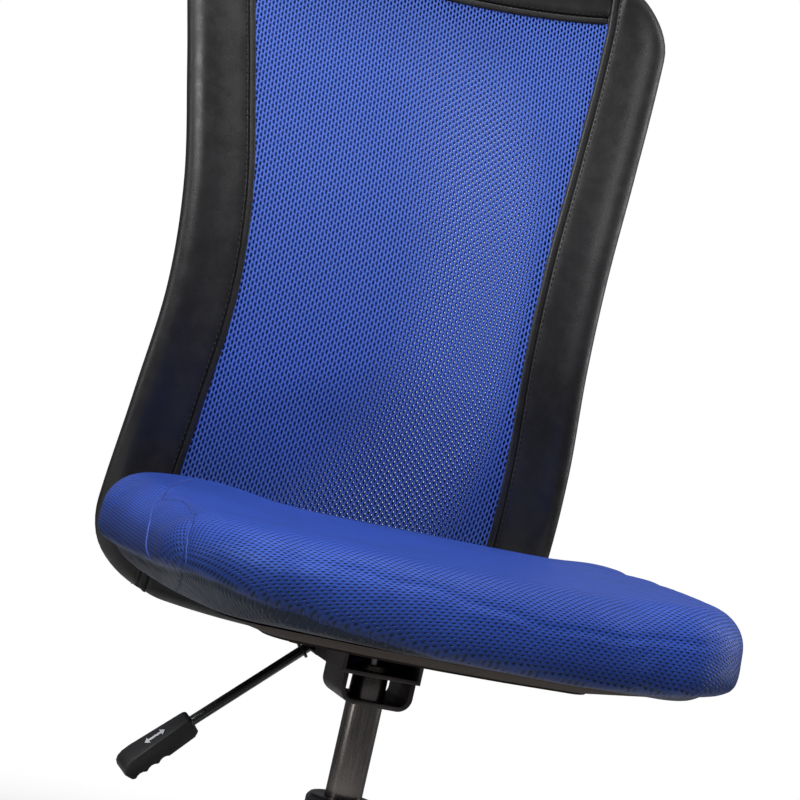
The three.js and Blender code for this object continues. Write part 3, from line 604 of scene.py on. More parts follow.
def make_symbol():
    """A plain up-and-down arrow, a little raised, on the flat top of the handle."""
    origin, along, across, top = handle_frame()
    outline = [(-9, 0), (-5.4, 3.4), (-5.4, 1.1), (5.4, 1.1), (5.4, 3.4), (9, 0),
               (5.4, -3.4), (5.4, -1.1), (-5.4, -1.1), (-5.4, -3.4)]
    verts = []
    for lift in (0.18, -0.25):
        for u, v in outline:
            x = 30 + u
            z = 7.5 - (x - 4) / 46 + lift
            verts.append(origin + along * x + across * v + top * z)
    n = len(outline)
    faces = [tuple(range(n)), tuple(range(2 * n - 1, n - 1, -1))]
    faces += [(i, i + n, (i + 1) % n + n, (i + 1) % n) for i in range(n)]
    symbol = mesh_object("handle_symbol", verts, faces, 30)
    clean(symbol)
    symbol.data.materials.append(WHITE_INK)
    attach(symbol, "lever")


make_lever()
make_symbol()

# ---------------------------------------------------------------- backrest outline

BACK_LINE = spline([(310, 232), (430, 193.5), (520, 170.5), (612, 163), (700, 172.5),
                    (800, 199.5), (880, 225), (1000, 254)])
SIDE_LINE = spline([(310, 181), (440, 185.5), (530, 181), (620, 174.5), (700, 177.5),
                    (790, 190), (880, 203), (1000, 212)])
BACK_FOOT = BACK_BOTTOM + BOTTOM_RISE
NARROWEST = 9.5  # width of a side panel where it meets the top or bottom seam


def back_y(z):
    return np.interp(z, BACK_LINE[:, 0], BACK_LINE[:, 1])


def side_x(z):
    return np.interp(z, SIDE_LINE[:, 0], SIDE_LINE[:, 1])


def window_half(z):
    return side_x(z) - BORDER


SEAM_LOW = float(window_half(WINDOW_BOTTOM))
SEAM_HIGH = float(window_half(WINDOW_TOP))


def window_top(x):
    return WINDOW_TOP - TOP_DIP * (1 - (x / SEAM_HIGH) ** 2)


def border_top(x):
    return BACK_TOP - 9 * (1 - np.minimum(1, (x / SEAM_HIGH) ** 2))


def border_bottom(x):
    plain = BACK_BOTTOM + BOTTOM_RISE * np.minimum(1, (x / SEAM_LOW) ** 2)
    inside = smooth((NOTCH_HALF + 2 - np.abs(x)) / 4)
    return plain + (NOTCH_TOP - plain) * inside


def corner_rows(count):
    return [math.pi / 2 * (k / count) for k in range(count + 1)]


def side_rows():
    """Heights of the side pieces' rows, with the outer x of each."""
    rows = []
    for turn in corner_rows(16):
        z = BACK_FOOT + CORNER_LOW * (1 - math.cos(turn))
        outer = float(side_x(z)) - CORNER_LOW * (1 - math.sin(turn))
        rows.append((z, max(outer, SEAM_LOW + NARROWEST)))
    low, high = BACK_FOOT + CORNER_LOW, BACK_TOP - CORNER_HIGH
    for z in np.linspace(low, high, 92)[1:-1]:
        rows.append((z, float(side_x(z))))
    for turn in reversed(corner_rows(14)):
        z = BACK_TOP - CORNER_HIGH * (1 - math.cos(turn))
        outer = float(side_x(z)) - CORNER_HIGH * (1 - math.sin(turn))
        rows.append((z, max(outer, SEAM_HIGH + NARROWEST)))
    return rows


def outline():
    """The backrest's outline from the middle of the bottom edge to the middle of the top."""
    points = [(x, float(border_bottom(x))) for x in np.linspace(0, SEAM_LOW, 90)]
    points += [(x, z) for z, x in side_rows()]
    points += [(x, float(border_top(x))) for x in np.linspace(SEAM_HIGH, 0, 50)]
    return np.array(points)


OUTLINE = outline()


def from_outline(x, z):
    """Distance of points from the outline, and the outward direction there."""
    p = np.stack([np.abs(x), z], -1).reshape(-1, 2)
    a, b = OUTLINE[:-1], OUTLINE[1:]
    ab = b - a
    length = np.maximum((ab ** 2).sum(1), 1e-9)
    best = np.full(len(p), 1e9)
    near = np.zeros(len(p), int)
    for start in range(0, len(p), 4000):
        q = p[start:start + 4000, None] - a[None]
        t = np.clip((q * ab).sum(-1) / length, 0, 1)
        gap = np.sqrt(((q - t[..., None] * ab) ** 2).sum(-1))
        near[start:start + 4000] = gap.argmin(1)
        best[start:start + 4000] = gap.min(1)
    out = np.stack([ab[:, 1], -ab[:, 0]], -1)[near] / np.sqrt(length[near])[:, None]
    out[:, 0] *= np.where(np.reshape(x, -1) < 0, -1, 1)
    return best.reshape(np.shape(x)), out[:, 0].reshape(np.shape(x)), out[:, 1].reshape(np.shape(x))


# ---------------------------------------------------------------- leather covers

SEAM_DEPTH = 12.5  # the side seam, from the frame's front plane
STRIP = 6.4  # the folded strip beside the net
SKIN = 1.2  # the leather's thickness
PAD = 1.2  # how far the padding lifts the cover off the frame
ROLL = 2.6  # how much more it lifts it along the outer edge
BOLSTER = 3.4  # how far the front cover swells out past the frame
# Lines of points over a cover: mm from its inner edge, then shares of what is left.
INNER = [0, .25, .6, 1.1, 1.8, 3.2, 4.6, 5.4, 5.8, 6.1, 6.4, 6.7, 7.0, 7.5, 8.4]
OUTER = [.07, .15, .25, .35, .45, .55, .63, .7, .76, .81, .85, .885, .915, .94, .96, .975, .987,
         .995, 1]


def edge_drop(d, reach, drop):
    t = 1 - np.clip(d / reach, 0, 1)
    return drop * (1 - np.sqrt(np.maximum(0, 1 - t * t)))


def cover_depth(s, d, front, crease=1.0):
    """How deep a cover's face lies, s mm from its inner edge and d mm from the outline."""
    fold = crease * 1.9 * (1 - smooth(s / 1.6))
    groove = crease * 1.5 * np.exp(-((s - STRIP) / 0.62) ** 2)
    pad = smooth((s - STRIP) / 5)
    if not front:
        return fold + groove - 0.6 * pad + edge_drop(d, 5.0, 4.5)
    roll = ROLL * np.exp(-((d - 9) / 8.5) ** 2)
    waves = 0.25 * np.sin(s / 9 + d / 13)
    return fold + groove - pad * (PAD + roll + waves) + edge_drop(d, 9.0, 7.0)


def cover_steps(width):
    """Distances of a cover's lines from its inner edge, over a given width."""
    rest = width - INNER[-1]
    return np.array(INNER + [INNER[-1] + f * rest for f in OUTER])


def cover_sheet(x, z, s, ends, front):
    """One leather panel from grids of x, z and s; ends says which sides turn down a wall."""
    d, out_x, out_z = from_outline(x, z)
    crease = 0.1 + 0.9 * smooth((z - BACK_FOOT - 14) / 22)  # seams flatten at the lower edge
    depth = cover_depth(s, d, front, crease)
    wall = SEAM_DEPTH - 0.3 if front else BACK_THICK - SEAM_DEPTH - 0.3
    swell = (BOLSTER if front else 0) * np.exp(-(d / 7) ** 2)
    swell = swell * smooth((z - BACK_FOOT - 4) / 40) * smooth((BACK_TOP - 14 - z) / 40)
    swell = np.where(s < STRIP + 4, 0, swell)

    def extended(grid, axis, at_end, change):
        """The grid with three more lines along one side, each change(line, how far along)."""
        steps = [0.25, 0.6, 1.0] if at_end else [1.0, 0.6, 0.25]
        line = np.take(grid, [-1 if at_end else 0], axis=axis)
        block = np.concatenate([change(line, k) for k in steps], axis=axis)
        return np.concatenate([grid, block] if at_end else [block, grid], axis=axis)

    for axis, at_end, target in ends:
        def turn_down(line, k):
            goal = np.maximum(line + 0.5, wall if target == "outline" else line + target)
            return line + (goal - line) * k

        def keep(line, k):
            return line

        def fade(line, k):
            return line * (1 - k * k)

        depth = extended(depth, axis, at_end, turn_down)
        swell = extended(swell, axis, at_end, fade if target == "outline" else keep)
        x, z, out_x, out_z = (extended(g, axis, at_end, keep) for g in (x, z, out_x, out_z))
    x, z = x + swell * out_x, z + swell * out_z
    y = back_y(z) + (depth if front else BACK_THICK - depth)
    verts = np.stack([x, y, z], -1).reshape(-1, 3)
    return verts, grid_faces(*x.shape)


def corner_level(x):
    """The height of the lower corner's curve at x."""
    turns = np.array(corner_rows(16))
    levels = BACK_FOOT + CORNER_LOW * (1 - np.cos(turns))
    outers = side_x(levels) - CORNER_LOW * (1 - np.sin(turns))
    return np.interp(np.abs(x), outers, levels)


def side_panel(sign, front):
    """The leather down one side: sign is 1 for the chair's left."""
    xs, zs, ss = [], [], []
    for z, outer in side_rows():
        low = z < WINDOW_BOTTOM
        inner = SEAM_LOW if low else min(float(window_half(z)), SEAM_HIGH)
        steps = cover_steps(max(outer - inner, NARROWEST))
        xs.append(sign * (inner + steps))
        zs.append(np.full(len(steps), z))
        ss.append(steps)
    x, z = np.array(xs), np.array(zs)
    z = np.maximum(z, np.where(z < BACK_FOOT + CORNER_LOW, corner_level(x), 0))
    return cover_sheet(x, z, np.array(ss),
                       [(1, True, "outline"), (1, False, 4.0), (0, True, "outline"),
                        (0, False, "outline")], front)


def cross_panel(top, front):
    """The leather across the top or the bottom, between the two side panels."""
    half = SEAM_HIGH - 0.35 if top else SEAM_LOW - 0.05
    t = np.linspace(-1, 1, 97)
    if not top:
        t = np.sign(t) * (1 - (1 - np.abs(t)) ** 1.25)  # closer together towards the ends
    cols = []
    for x in half * t:
        inner = float(window_top(x)) if top else WINDOW_BOTTOM
        outer = float(border_top(x) if top else border_bottom(x) + corner_level(x) - BACK_FOOT)
        steps = cover_steps(abs(outer - inner))
        z = inner + steps * (1 if top else -1)
        cols.append((np.full(len(steps), x), z, steps))
    x, z, s = (np.array([c[k] for c in cols]).T for k in range(3))
    verts, faces = cover_sheet(x, z, s,
                               [(0, True, "outline"), (0, False, 4.0), (1, True, 3.0),
                                (1, False, 3.0)], front)
    ends = np.abs(verts[:, 0])
    dip = (1.6 if top else 0.5) * (1 - smooth((half - ends) / 2.2))
    verts[:, 1] += dip if front else -dip
    return verts, faces


def leather_piece(name, parts):
    verts, faces = [], []
    for part_verts, part_faces in parts:
        base = len(verts)
        verts += list(part_verts)
        faces += [tuple(i + base for i in f) for f in part_faces]
    obj = mesh_object(name, verts, faces)
    clean(obj, 0.03)
    return obj


def thicken(obj, front):
    """Turns an open cover into a closed skin, grown inwards."""
    mesh = obj.data
    facing = sum(p.normal.y * p.area for p in mesh.polygons)
    if (facing > 0) == front:
        mesh.flip_normals()
    skin = obj.modifiers.new("skin", "SOLIDIFY")
    skin.thickness = SKIN * MM
    skin.offset = -1
    evaluated(obj)
    shade(obj, 42)


COVERS = {
    "border_left": ("cover_left", lambda: side_panel(1, True)),
    "border_right": ("cover_right", lambda: side_panel(-1, True)),
    "border_top": ("cover_top", lambda: cross_panel(True, True)),
    "border_bottom": ("cover_bottom", lambda: cross_panel(False, True)),
}


def make_covers():
    for node_name, (name, shape) in COVERS.items():
        cover = leather_piece(name, [shape()])
        thicken(cover, True)
        cover.data.materials.append(MATERIALS["faux_leather"])
        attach(cover, "upper")
        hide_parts(node_name)
    rear = leather_piece("cover_rear", [side_panel(1, False), side_panel(-1, False),
                                        cross_panel(True, False), cross_panel(False, False)])
    thicken(rear, False)
    rear.data.materials.append(MATERIALS["faux_leather"])
    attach(rear, "upper")
    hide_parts("border_rear")


# ---------------------------------------------------------------- nets


NET_DEPTH = 1.6  # of each net, from the nearer face of the frame
NET_SAG = 1.5


def net_sheet(name, depth, node_name, paint, sag):
    rows, cols = 120, 40
    z0, z1 = WINDOW_BOTTOM - 2, WINDOW_TOP - TOP_DIP + 2
    xs, zs = [], []
    for i in range(rows):
        v = i / (rows - 1)
        z = z0 + (z1 - z0) * v
        half = min(float(window_half(z)), SEAM_HIGH) + 2
        x = np.linspace(-half, half, cols)
        rise = (window_top(np.clip(x, -SEAM_HIGH, SEAM_HIGH)) - WINDOW_TOP + TOP_DIP) * v ** 6
        xs.append(x)
        zs.append(z + rise)
    x, z = np.array(xs), np.array(zs)
    u = x / (side_x(z) - BORDER)
    v = (z - z0) / (z1 - z0)
    pull = sag * (1 - u ** 2) * np.sin(math.pi * np.clip(v, 0, 1))
    y = back_y(z) + depth + pull
    verts = np.stack([x, y, z], -1).reshape(-1, 3)
    obj = mesh_object(name, verts, grid_faces(rows, cols), 60)
    obj.data.materials.append(paint)
    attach(obj, "upper")
    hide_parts(node_name)


# ---------------------------------------------------------------- stitches


STITCH_LINE = 8.2  # from a cover's inner edge
# The stitches' pitch, length and radius, and their thread.
DARK_STITCH = (5.0, 3.4, 0.5, DARK_THREAD)
GREY_STITCH = (5.2, 3.7, 0.5, GREY_THREAD)


def stitches(name, points, normals, pitch, length, radius, paint):
    """Thread stitches along a line of points: short rounded bars that dip in at their ends."""
    points, normals = np.asarray(points, float), np.asarray(normals, float)
    run = np.concatenate([[0], np.cumsum(np.linalg.norm(np.diff(points, axis=0), axis=1))])

    def at(distance):
        p = np.array([np.interp(distance, run, points[:, k]) for k in range(3)])
        n = np.array([np.interp(distance, run, normals[:, k]) for k in range(3)])
        return p, n / np.linalg.norm(n)

    verts, faces = [], []
    profile = [(-1, -0.9, 0.55), (-0.72, 0.05, 0.95), (-0.3, 0.32, 1), (0.3, 0.32, 1),
               (0.72, 0.05, 0.95), (1, -0.9, 0.55)]
    for k in range(int(run[-1] / pitch)):
        middle = (k + 0.5) * pitch
        line, size = [], []
        for along, lift, swell in profile:
            p, n = at(middle + along * length / 2)
            line.append(p + n * radius * lift)
            size.append(swell)
        v, f = sweep(line, radius, 6, size)
        faces += [tuple(i + len(verts) for i in face) for face in f]
        verts += v
    obj = mesh_object(name, verts, faces, 60)
    obj.data.materials.append(paint)
    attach(obj, "upper")


def cover_point(x, z, s, front):
    """The point of a cover's face over x and z, s mm from its inner edge."""
    d = from_outline(np.array([x]), np.array([z]))[0][0]
    depth = float(cover_depth(np.float64(s), np.float64(d), front))
    y = float(back_y(z)) + (depth if front else BACK_THICK - depth)
    return x, y, z


def inner_seam(sign, front):
    """The line of stitches down a side panel, beside the net."""
    points = []
    for z in np.linspace(BACK_FOOT + 8, BACK_TOP - 6, 90):
        inner = SEAM_LOW if z < WINDOW_BOTTOM else min(float(window_half(z)), SEAM_HIGH)
        points.append(cover_point(sign * (inner + STITCH_LINE), z, STITCH_LINE, front))
    return points


def level_seam(top):
    """The line of stitches along the top or bottom panel, beside the net."""
    half = (SEAM_HIGH if top else SEAM_LOW) - 5
    points = []
    for x in np.linspace(-half, half, 60):
        edge = float(window_top(x)) if top else WINDOW_BOTTOM
        z = edge + STITCH_LINE * (1 if top else -1)
        points.append(cover_point(x, z, STITCH_LINE, True))
    return points


def side_seam(sign, depth):
    """Along the outer edge of the frame, on the rear cover's strip."""
    points, normals = [], []
    path = np.array([(x, z) for z, x in side_rows()])
    run = np.gradient(path, axis=0)
    for (x, z), (dx, dz) in zip(path, run):
        if z < BACK_FOOT + 16:  # the stitching stops above the lower corner
            continue
        size = math.hypot(dx, dz) or 1
        points.append((sign * x, float(back_y(z)) + depth, z))
        normals.append((sign * dz / size, 0, -dx / size))
    return points, normals


def make_stitches():
    ahead, behind = np.array([0, -1.0, 0]), np.array([0, 1.0, 0])
    for label, sign in (("left", 1), ("right", -1)):
        for kind, front, n in (("front", True, ahead), ("rear", False, behind)):
            line = inner_seam(sign, front)
            stitches(f"stitches_{kind}_{label}", line, [n] * len(line), *DARK_STITCH)
        stitches(f"stitches_side_{label}", *side_seam(sign, 14.4), *GREY_STITCH)
    for label, top in (("top", True), ("bottom", False)):
        line = level_seam(top)
        stitches(f"stitches_{label}", line, [ahead] * len(line), *DARK_STITCH)


make_covers()
net_sheet("net_front", NET_DEPTH, "mesh_front", NET_FRONT, NET_SAG)
net_sheet("net_rear", BACK_THICK - NET_DEPTH, "mesh_rear", NET_REAR, -NET_SAG)
make_stitches()

# ---------------------------------------------------------------- seat cushion

HELD_BELOW = 415.5  # height under which the cloth can not move
PUFF_FRAMES = 20
PUFF = 4.0  # how far the cloth may move when it is blown up
LEFT, RIGHT = -219.0, 222.5
CORNER_REAR = 108.0
BOARD_INSET = 50.0
TOP_REACH, TOP_ROUND = 32.0, 31.0
CUSHION_MIDDLE = np.array([0.0, -41.0])
# Height of the seam where the blue knit ends, along the front edge and along the sides.
FRONT_SEAM = ([-205, -189, -175, -160, -133, -103, -60, -30, 13, 71, 115, 145, 175, 205],
              [439, 436, 433, 431, 429, 424, 421, 417, 417, 416, 417, 418, 420, 422])
LEFT_SEAM = ([-200, -171, -109, -43, 27, 100, 158], [439, 437, 433, 430, 426, 423, 420])
RIGHT_SEAM = ([-200, -171, -109, -43, 27, 100, 158], [422, 424, 427, 427, 425, 423, 420])


def half_plan(half, count=40):
    """Half of the seat seen from above, from the middle of the rear to the middle of the front."""
    y = SEAT_FRONT + SEAT_BOW
    points = [(x, SEAT_REAR) for x in np.linspace(0, half - CORNER_REAR, 24)]
    for turn in np.linspace(0, math.pi / 2, count):
        points.append((half - CORNER_REAR * (1 - math.sin(turn)),
                       SEAT_REAR - CORNER_REAR * (1 - math.cos(turn))))
    points += [(half, v) for v in np.linspace(SEAT_REAR - CORNER_REAR, y + SEAT_CORNER, 30)]
    for turn in np.linspace(0, math.pi / 2, count):
        points.append((half - SEAT_CORNER * (1 - math.cos(turn)),
                       y + SEAT_CORNER * (1 - math.sin(turn))))
    arc = half - SEAT_CORNER
    points += [(x, y - SEAT_BOW * (1 - (x / arc) ** 2)) for x in np.linspace(arc, 0, 30)]
    return np.array(points)


def seat_plan():
    """The whole plan, once round, with outward normals and the height of the lower seam."""
    right, left = half_plan(RIGHT), half_plan(-LEFT) * [-1, 1]
    ring = np.concatenate([right, left[::-1]])
    keep = np.linalg.norm(np.roll(ring, -1, axis=0) - ring, axis=1) > 1e-6
    ring = ring[keep]
    run = np.roll(ring, -1, axis=0) - np.roll(ring, 1, axis=0)
    normal = np.stack([run[:, 1], -run[:, 0]], -1)
    normal /= np.linalg.norm(normal, axis=1)[:, None]
    normal *= np.sign(((ring - CUSHION_MIDDLE) * normal).sum(1))[:, None]
    x, y = ring.T
    side = np.where(x < 0, np.interp(y, *LEFT_SEAM), np.interp(y, *RIGHT_SEAM))
    end = np.where(y < 0, np.interp(x, *FRONT_SEAM), 421)
    weight = normal[:, 0] ** 2
    return ring, normal, weight * side + (1 - weight) * end


PLAN, PLAN_NORMAL, PLAN_SEAM = seat_plan()


def cushion_blank(slack):
    """The cushion, slack mm slimmer than it ends up, remeshed evenly."""
    floor_z, top_z = CUSHION_BOTTOM + 0.2, CUSHION_TOP + 5 - slack
    rings = []

    def ring(inset, z):
        rings.append(np.column_stack([PLAN - PLAN_NORMAL * (inset + slack), z + 0 * PLAN_SEAM]))

    for k in (0.15, 0.5, 0.8):
        edge = PLAN - PLAN_NORMAL * BOARD_INSET
        rings.append(np.column_stack([CUSHION_MIDDLE + (edge - CUSHION_MIDDLE) * k,
                                      np.full(len(PLAN), floor_z)]))
    for inset, k in ((BOARD_INSET, 0), (34, 0.2), (20, 0.5), (9, 0.82), (3, 0.97)):
        ring(inset, floor_z + (PLAN_SEAM - floor_z) * k)
    for k in np.linspace(0, 1, 5):
        low, high = PLAN_SEAM + 2, top_z - TOP_ROUND
        ring(1.5 * (1 - math.sin(math.pi * k)), low + (high - low) * k)
    for turn in np.linspace(0, math.pi / 2, 9)[1:]:
        ring(TOP_REACH * (1 - math.cos(turn)), top_z - TOP_ROUND * (1 - math.sin(turn)))
    rim = rings[-1]
    for k in (0.85, 0.65, 0.4, 0.15):
        inner = CUSHION_MIDDLE + (rim[:, :2] - CUSHION_MIDDLE) * k
        rings.append(np.column_stack([inner, np.full(len(inner), top_z - 2.0 * (1 - k ** 2))]))
    verts = np.concatenate(rings)
    x, y, z = verts.T
    # right is how far right a point is in the photograph. The top sinks towards the rear of
    # its middle, and rises at the end that the photograph has on the right.
    right = 0.95 * x - 0.31 * y
    dip = 8.5 * smooth((y - 20) / 110) * smooth((x + 130) / 90) * (1 - smooth((right - 110) / 65))
    rise = 4.5 * smooth((right - 160) / 50)
    verts[:, 2] += (rise - dip) * smooth((z - 430) / 25)
    sides = len(PLAN)
    faces = grid_faces(len(rings), sides, closed=True)
    faces += [tuple(range(sides))[::-1], tuple(range(len(verts) - sides, len(verts)))]
    obj = mesh_object("seat_pad", verts, faces)
    clean(obj)
    remesh = obj.modifiers.new("even", "REMESH")
    remesh.mode = "VOXEL"
    remesh.voxel_size = 0.005
    evaluated(obj)
    return obj


def positions(mesh):
    co = np.empty(len(mesh.vertices) * 3)
    mesh.vertices.foreach_get("co", co)
    return co.reshape(-1, 3)


def set_positions(mesh, co):
    mesh.vertices.foreach_set("co", co.reshape(-1))
    mesh.update()


def inflate(obj):
    """Blows the pad up like cloth under pressure, held where it meets the board."""
    before = positions(obj.data)
    held = obj.vertex_groups.new(name="held")
    held.add(np.flatnonzero(before[:, 2] < HELD_BELOW * MM).tolist(), 1.0, "REPLACE")
    cloth = obj.modifiers.new("cloth", "CLOTH")
    cloth.settings.vertex_group_mass = "held"
    cloth.settings.use_pressure = True
    cloth.settings.uniform_pressure_force = 4
    cloth.settings.effector_weights.gravity = 0
    cloth.settings.tension_stiffness = 20
    cloth.settings.compression_stiffness = 20
    cloth.settings.bending_stiffness = 2
    cloth.point_cache.frame_start = 1
    cloth.point_cache.frame_end = PUFF_FRAMES
    for number in range(1, PUFF_FRAMES + 1):
        bpy.context.scene.frame_set(number)
    evaluated(obj)
    bpy.context.scene.frame_set(1)
    move = positions(obj.data) - before
    size = np.linalg.norm(move, axis=1)[:, None] / MM
    move *= PUFF * np.tanh(size / PUFF) / np.maximum(size, 1e-6)
    set_positions(obj.data, before + move)


def soften(obj, factor, rounds):
    relax = obj.modifiers.new("relax", "SMOOTH")
    relax.factor = factor
    relax.iterations = rounds
    evaluated(obj)


def subdivide(obj):
    finer = obj.modifiers.new("finer", "SUBSURF")
    finer.levels = 1
    evaluated(obj)


# The side panel's seam runs up the side, then back and in over the top; the corner seam leaves
# it on the top and runs forward and down the front corner. Both are for the left of the chair.
SIDE_SEAM = spline([(220, -119, 431), (221, -104, 443), (220, -98, 452), (217, -88, 461),
                    (210, -66, 469), (202, -46, 475), (190, -22, 478), (173, 20, 481),
                    (146, 87, 482), (124, 128, 476), (116, 150, 458)], 8)
CORNER_SEAM = spline([(198, -56, 471), (191, -65, 474), (188.5, -86, 476), (190, -114, 475),
                      (194, -142, 473), (198, -160, 468), (203, -175, 460), (206, -183, 448),
                      (206, -184, 440)], 8)
# The radius and lift of each seam's cord; those on the chair's right stand prouder.
CORDS = (("left", 1, (0.5, -0.2), (0.45, -0.25)), ("right", -1, (0.8, 0.0), (0.55, -0.1)))
FRONT_PLEAT = ([-150, -43, -5, 42, 91, 135, 175], [466, 464, 460, 454, 455, 459, 462])


def on_side_panel(x, y):
    """True on the ribbed side panels, outside both seams."""
    limit = np.interp(y, [-191, -184, -172, -156, -142, -114, -86, -65, -50, -22, 20, 87, 137, 158],
                      [400, 207, 201, 196, 193, 190, 188.5, 191, 196, 188, 173, 146, 122, 114])
    return np.abs(x) > limit


def near_plan(x, y):
    """Index of the nearest point of the plan."""
    out = np.empty(len(x), int)
    for start in range(0, len(x), 4000):
        p = np.column_stack([x, y])[start:start + 4000]
        out[start:start + 4000] = np.linalg.norm(p[:, None] - PLAN[None], axis=2).argmin(1)
    return out


def weave_coordinates(obj):
    """Where each point lies on its piece of knit, and its height over the lower seam."""
    x, y, z = (positions(obj.data) / MM).T
    i = near_plan(x, y)
    arc_x, arc_y = RIGHT - SEAT_CORNER, SEAT_FRONT + SEAT_BOW + SEAT_CORNER
    turn = np.arctan2(np.maximum(np.abs(x) - arc_x, 0), np.maximum(arc_y - y, 1e-3))
    arc = np.sign(x) * np.where(np.abs(x) > arc_x, arc_x + SEAT_CORNER * turn, np.abs(x))
    wall = smooth((474 - z) / 26) * (y < arc_y + 10)
    a, b = x + (arc - x) * wall, -(y + z)
    a, b = a * math.cos(0.1) - b * math.sin(0.1), a * math.sin(0.1) + b * math.cos(0.1)
    side = on_side_panel(x, y)
    a, b = np.where(side, y, a), np.where(side, np.abs(x) - z, b)
    data = np.stack([a + 2000, b + 2000, z - PLAN_SEAM[i]], -1) * MM
    layer = obj.data.attributes.new("weave", "FLOAT_VECTOR", "POINT")
    layer.data.foreach_set("vector", data.astype(np.float32).reshape(-1))


def press_seams(obj):
    """Sinks a shallow groove along the front pleat, the lower seam and the panel seams."""
    co = positions(obj.data) / MM
    x, y, z = co.T
    normals = np.empty(len(obj.data.vertices) * 3)
    obj.data.vertices.foreach_get("normal", normals)
    normals = normals.reshape(-1, 3)
    pleat = np.exp(-((z - np.interp(x, *FRONT_PLEAT) - 0.8 * np.sin(x / 9)) / 2.4) ** 2)
    depth = 1.4 * pleat * smooth((-y - 195) / 20) * smooth((185 - np.abs(x - 20)) / 70)
    lower = np.exp(-((z - PLAN_SEAM[near_plan(x, y)] + 1.5) / 2.2) ** 2)
    depth = np.maximum(depth, 1.3 * lower)
    mirrored = np.stack([np.abs(x), y, z], -1)
    for line in (SIDE_SEAM, CORNER_SEAM):
        gap = np.full(len(x), 99.0)
        for q in line[::2]:
            gap = np.minimum(gap, np.linalg.norm(mirrored - q, axis=1))
        depth = np.maximum(depth, np.where(x > 0, 0.15, 1.1) * np.exp(-(gap / 5) ** 2))
    set_positions(obj.data, (co - normals * depth[:, None]) * MM)


def onto_surface(obj, line, lift):
    """A line of points moved onto the cushion's skin, and off it by lift."""
    tree = BVHTree.FromObject(obj, bpy.context.evaluated_depsgraph_get())
    points = []
    for p in line:
        hit, normal, _, _ = tree.find_nearest(Vector(p) * MM)
        points.append(np.array(hit) / MM + np.array(normal) * lift)
    return np.array(points)


def seam_cord(pad, name, line, radius, lift):
    points = onto_surface(pad, line, lift)
    step = np.arange(len(points))
    taper = np.minimum(1, np.minimum(step, step[::-1]) / 4 + 0.2)
    verts, faces = sweep(points, radius, 8, taper)
    cord = mesh_object(name, verts, faces, 60)
    cord.data.materials.append(SEAM_THREAD)
    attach(cord, "upper")


def make_cushion():
    pad = cushion_blank(2.0)
    inflate(pad)
    soften(pad, 0.5, 5)
    subdivide(pad)
    press_seams(pad)
    soften(pad, 0.4, 2)
    weave_coordinates(pad)
    shade(pad, 80)
    pad.data.materials.clear()
    pad.data.materials.append(MATERIALS["seat_fabric"])
    for label, sign, side, corner in CORDS:
        flip = np.array([sign, 1, 1])
        seam_cord(pad, f"seat_side_seam_{label}", SIDE_SEAM * flip, *side)
        seam_cord(pad, f"seat_corner_seam_{label}", CORNER_SEAM * flip, *corner)
    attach(pad, "upper")
    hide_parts("seat_cushion")


make_cushion()

# ---------------------------------------------------------------- floor, lights and camera


def make_floor():
    """A pale disc that fades out towards its rim."""
    rings, sides, radius = 24, 96, 1.5
    verts = [(0, 0, 0)]
    for i in range(1, rings + 1):
        r = radius * i / rings * 1000
        verts += [(r * math.cos(2 * math.pi * k / sides), r * math.sin(2 * math.pi * k / sides), 0)
                  for k in range(sides)]
    faces = [(0, 1 + k, 1 + (k + 1) % sides) for k in range(sides)]
    for i in range(rings - 1):
        a = 1 + i * sides
        faces += [(a + k, a + sides + k, a + sides + (k + 1) % sides, a + (k + 1) % sides)
                  for k in range(sides)]
    floor = mesh_object("floor", verts, faces, 60)
    t = Tree("floor", 0.9, specular=0.1)
    x, y, _ = t.split(t.place)
    reach = t.length(x, y)
    t.colour(t.mix(t.noise(3, 2), (0.62, 0.62, 0.625), (0.67, 0.67, 0.675)))
    t.links.new(t.remap(reach, 0.5, 1.4, 1.0, 0.0), t.shader.inputs["Alpha"])
    floor.data.materials.append(t.material)


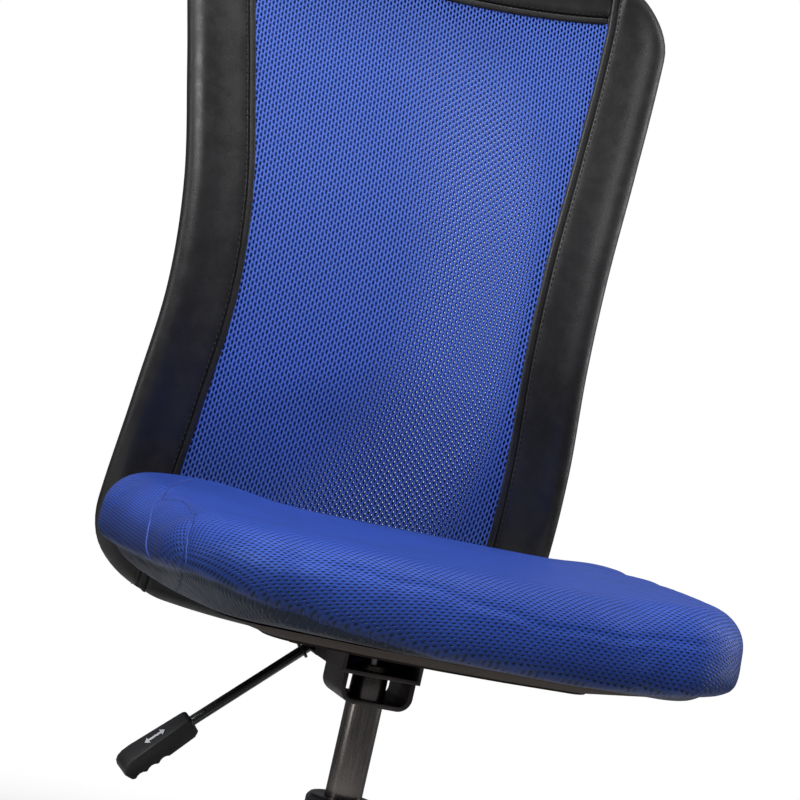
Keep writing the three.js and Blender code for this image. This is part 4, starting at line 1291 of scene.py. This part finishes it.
def make_world():
    """White to the camera, and a soft light that falls off towards the ground."""
    world = bpy.data.worlds.new("studio")
    bpy.context.scene.world = world
    world.use_nodes = True
    nodes, links = world.node_tree.nodes, world.node_tree.links
    light = nodes["Background"]
    height = nodes.new("ShaderNodeSeparateXYZ")
    links.new(nodes.new("ShaderNodeTexCoord").outputs["Generated"], height.inputs[0])
    ramp = nodes.new("ShaderNodeMapRange")
    links.new(height.outputs[2], ramp.inputs[0])
    for socket, number in zip(list(ramp.inputs)[1:5], (-0.3, 0.7, 0.05, 0.36)):
        socket.default_value = number
    light.inputs[0].default_value = (0.92, 0.95, 1, 1)
    links.new(ramp.outputs[0], light.inputs[1])
    seen = nodes.new("ShaderNodeBackground")
    seen.inputs[0].default_value = (1, 1, 1, 1)
    seen.inputs[1].default_value = 1.0
    mix = nodes.new("ShaderNodeMixShader")
    path = nodes.new("ShaderNodeLightPath")
    links.new(path.outputs["Is Camera Ray"], mix.inputs[0])
    links.new(light.outputs[0], mix.inputs[1])
    links.new(seen.outputs[0], mix.inputs[2])
    links.new(mix.outputs[0], nodes["World Output"].inputs[0])


def area_light(name, place, target, size, watts):
    data = bpy.data.lights.new(name, "AREA")
    data.shape = "RECTANGLE"
    data.size, data.size_y = size
    data.energy = watts
    lamp = link(bpy.data.objects.new(name, data))
    lamp.location = place
    lamp.rotation_euler = (Vector(target) - Vector(place)).to_track_quat("-Z", "Y").to_euler()


def make_lights():
    centre = (0, 0, 0.55)
    area_light("key", (-1.2, -1.6, 2.2), centre, (1.1, 1.1), 36)
    area_light("fill", (-0.5, -1.7, 2.2), (0.05, 0, 0.6), (0.7, 0.7), 8)
    area_light("rim_left", (-1.7, -0.2, 0.9), centre, (0.4, 1.7), 7)
    area_light("rim_right", (1.6, 0.2, 1.1), centre, (0.4, 1.7), 9)
    area_light("top", (0.1, 0.0, 2.4), (0, 0.1, 0.5), (1.0, 1.0), 12)


# The camera that was fitted to the photograph.
EYE = Vector((-0.67404, -2.08454, 0.65025))
VIEW_TURN = math.radians(17.3)
VIEW_PITCH = math.radians(2.0)
VIEW_ROLL = math.radians(12.7)
LENS = 132.96


def make_camera():
    right = Vector((math.cos(VIEW_TURN), -math.sin(VIEW_TURN), 0))
    ahead = Vector((math.sin(VIEW_TURN) * math.cos(VIEW_PITCH),
                    math.cos(VIEW_TURN) * math.cos(VIEW_PITCH), -math.sin(VIEW_PITCH)))
    up = right.cross(ahead)
    across = right * math.cos(VIEW_ROLL) + up * math.sin(VIEW_ROLL)
    upward = up * math.cos(VIEW_ROLL) - right * math.sin(VIEW_ROLL)
    data = bpy.data.cameras.new("camera")
    data.sensor_width = 36
    data.lens = LENS
    data.clip_end = 50
    camera = link(bpy.data.objects.new("camera", data))
    turn = Matrix((across, upward, -ahead)).transposed()
    camera.matrix_world = Matrix.Translation(EYE) @ turn.to_4x4()
    bpy.context.scene.camera = camera


make_floor()
make_world()
make_lights()
make_camera()
bpy.context.scene.view_settings.view_transform = "Standard"
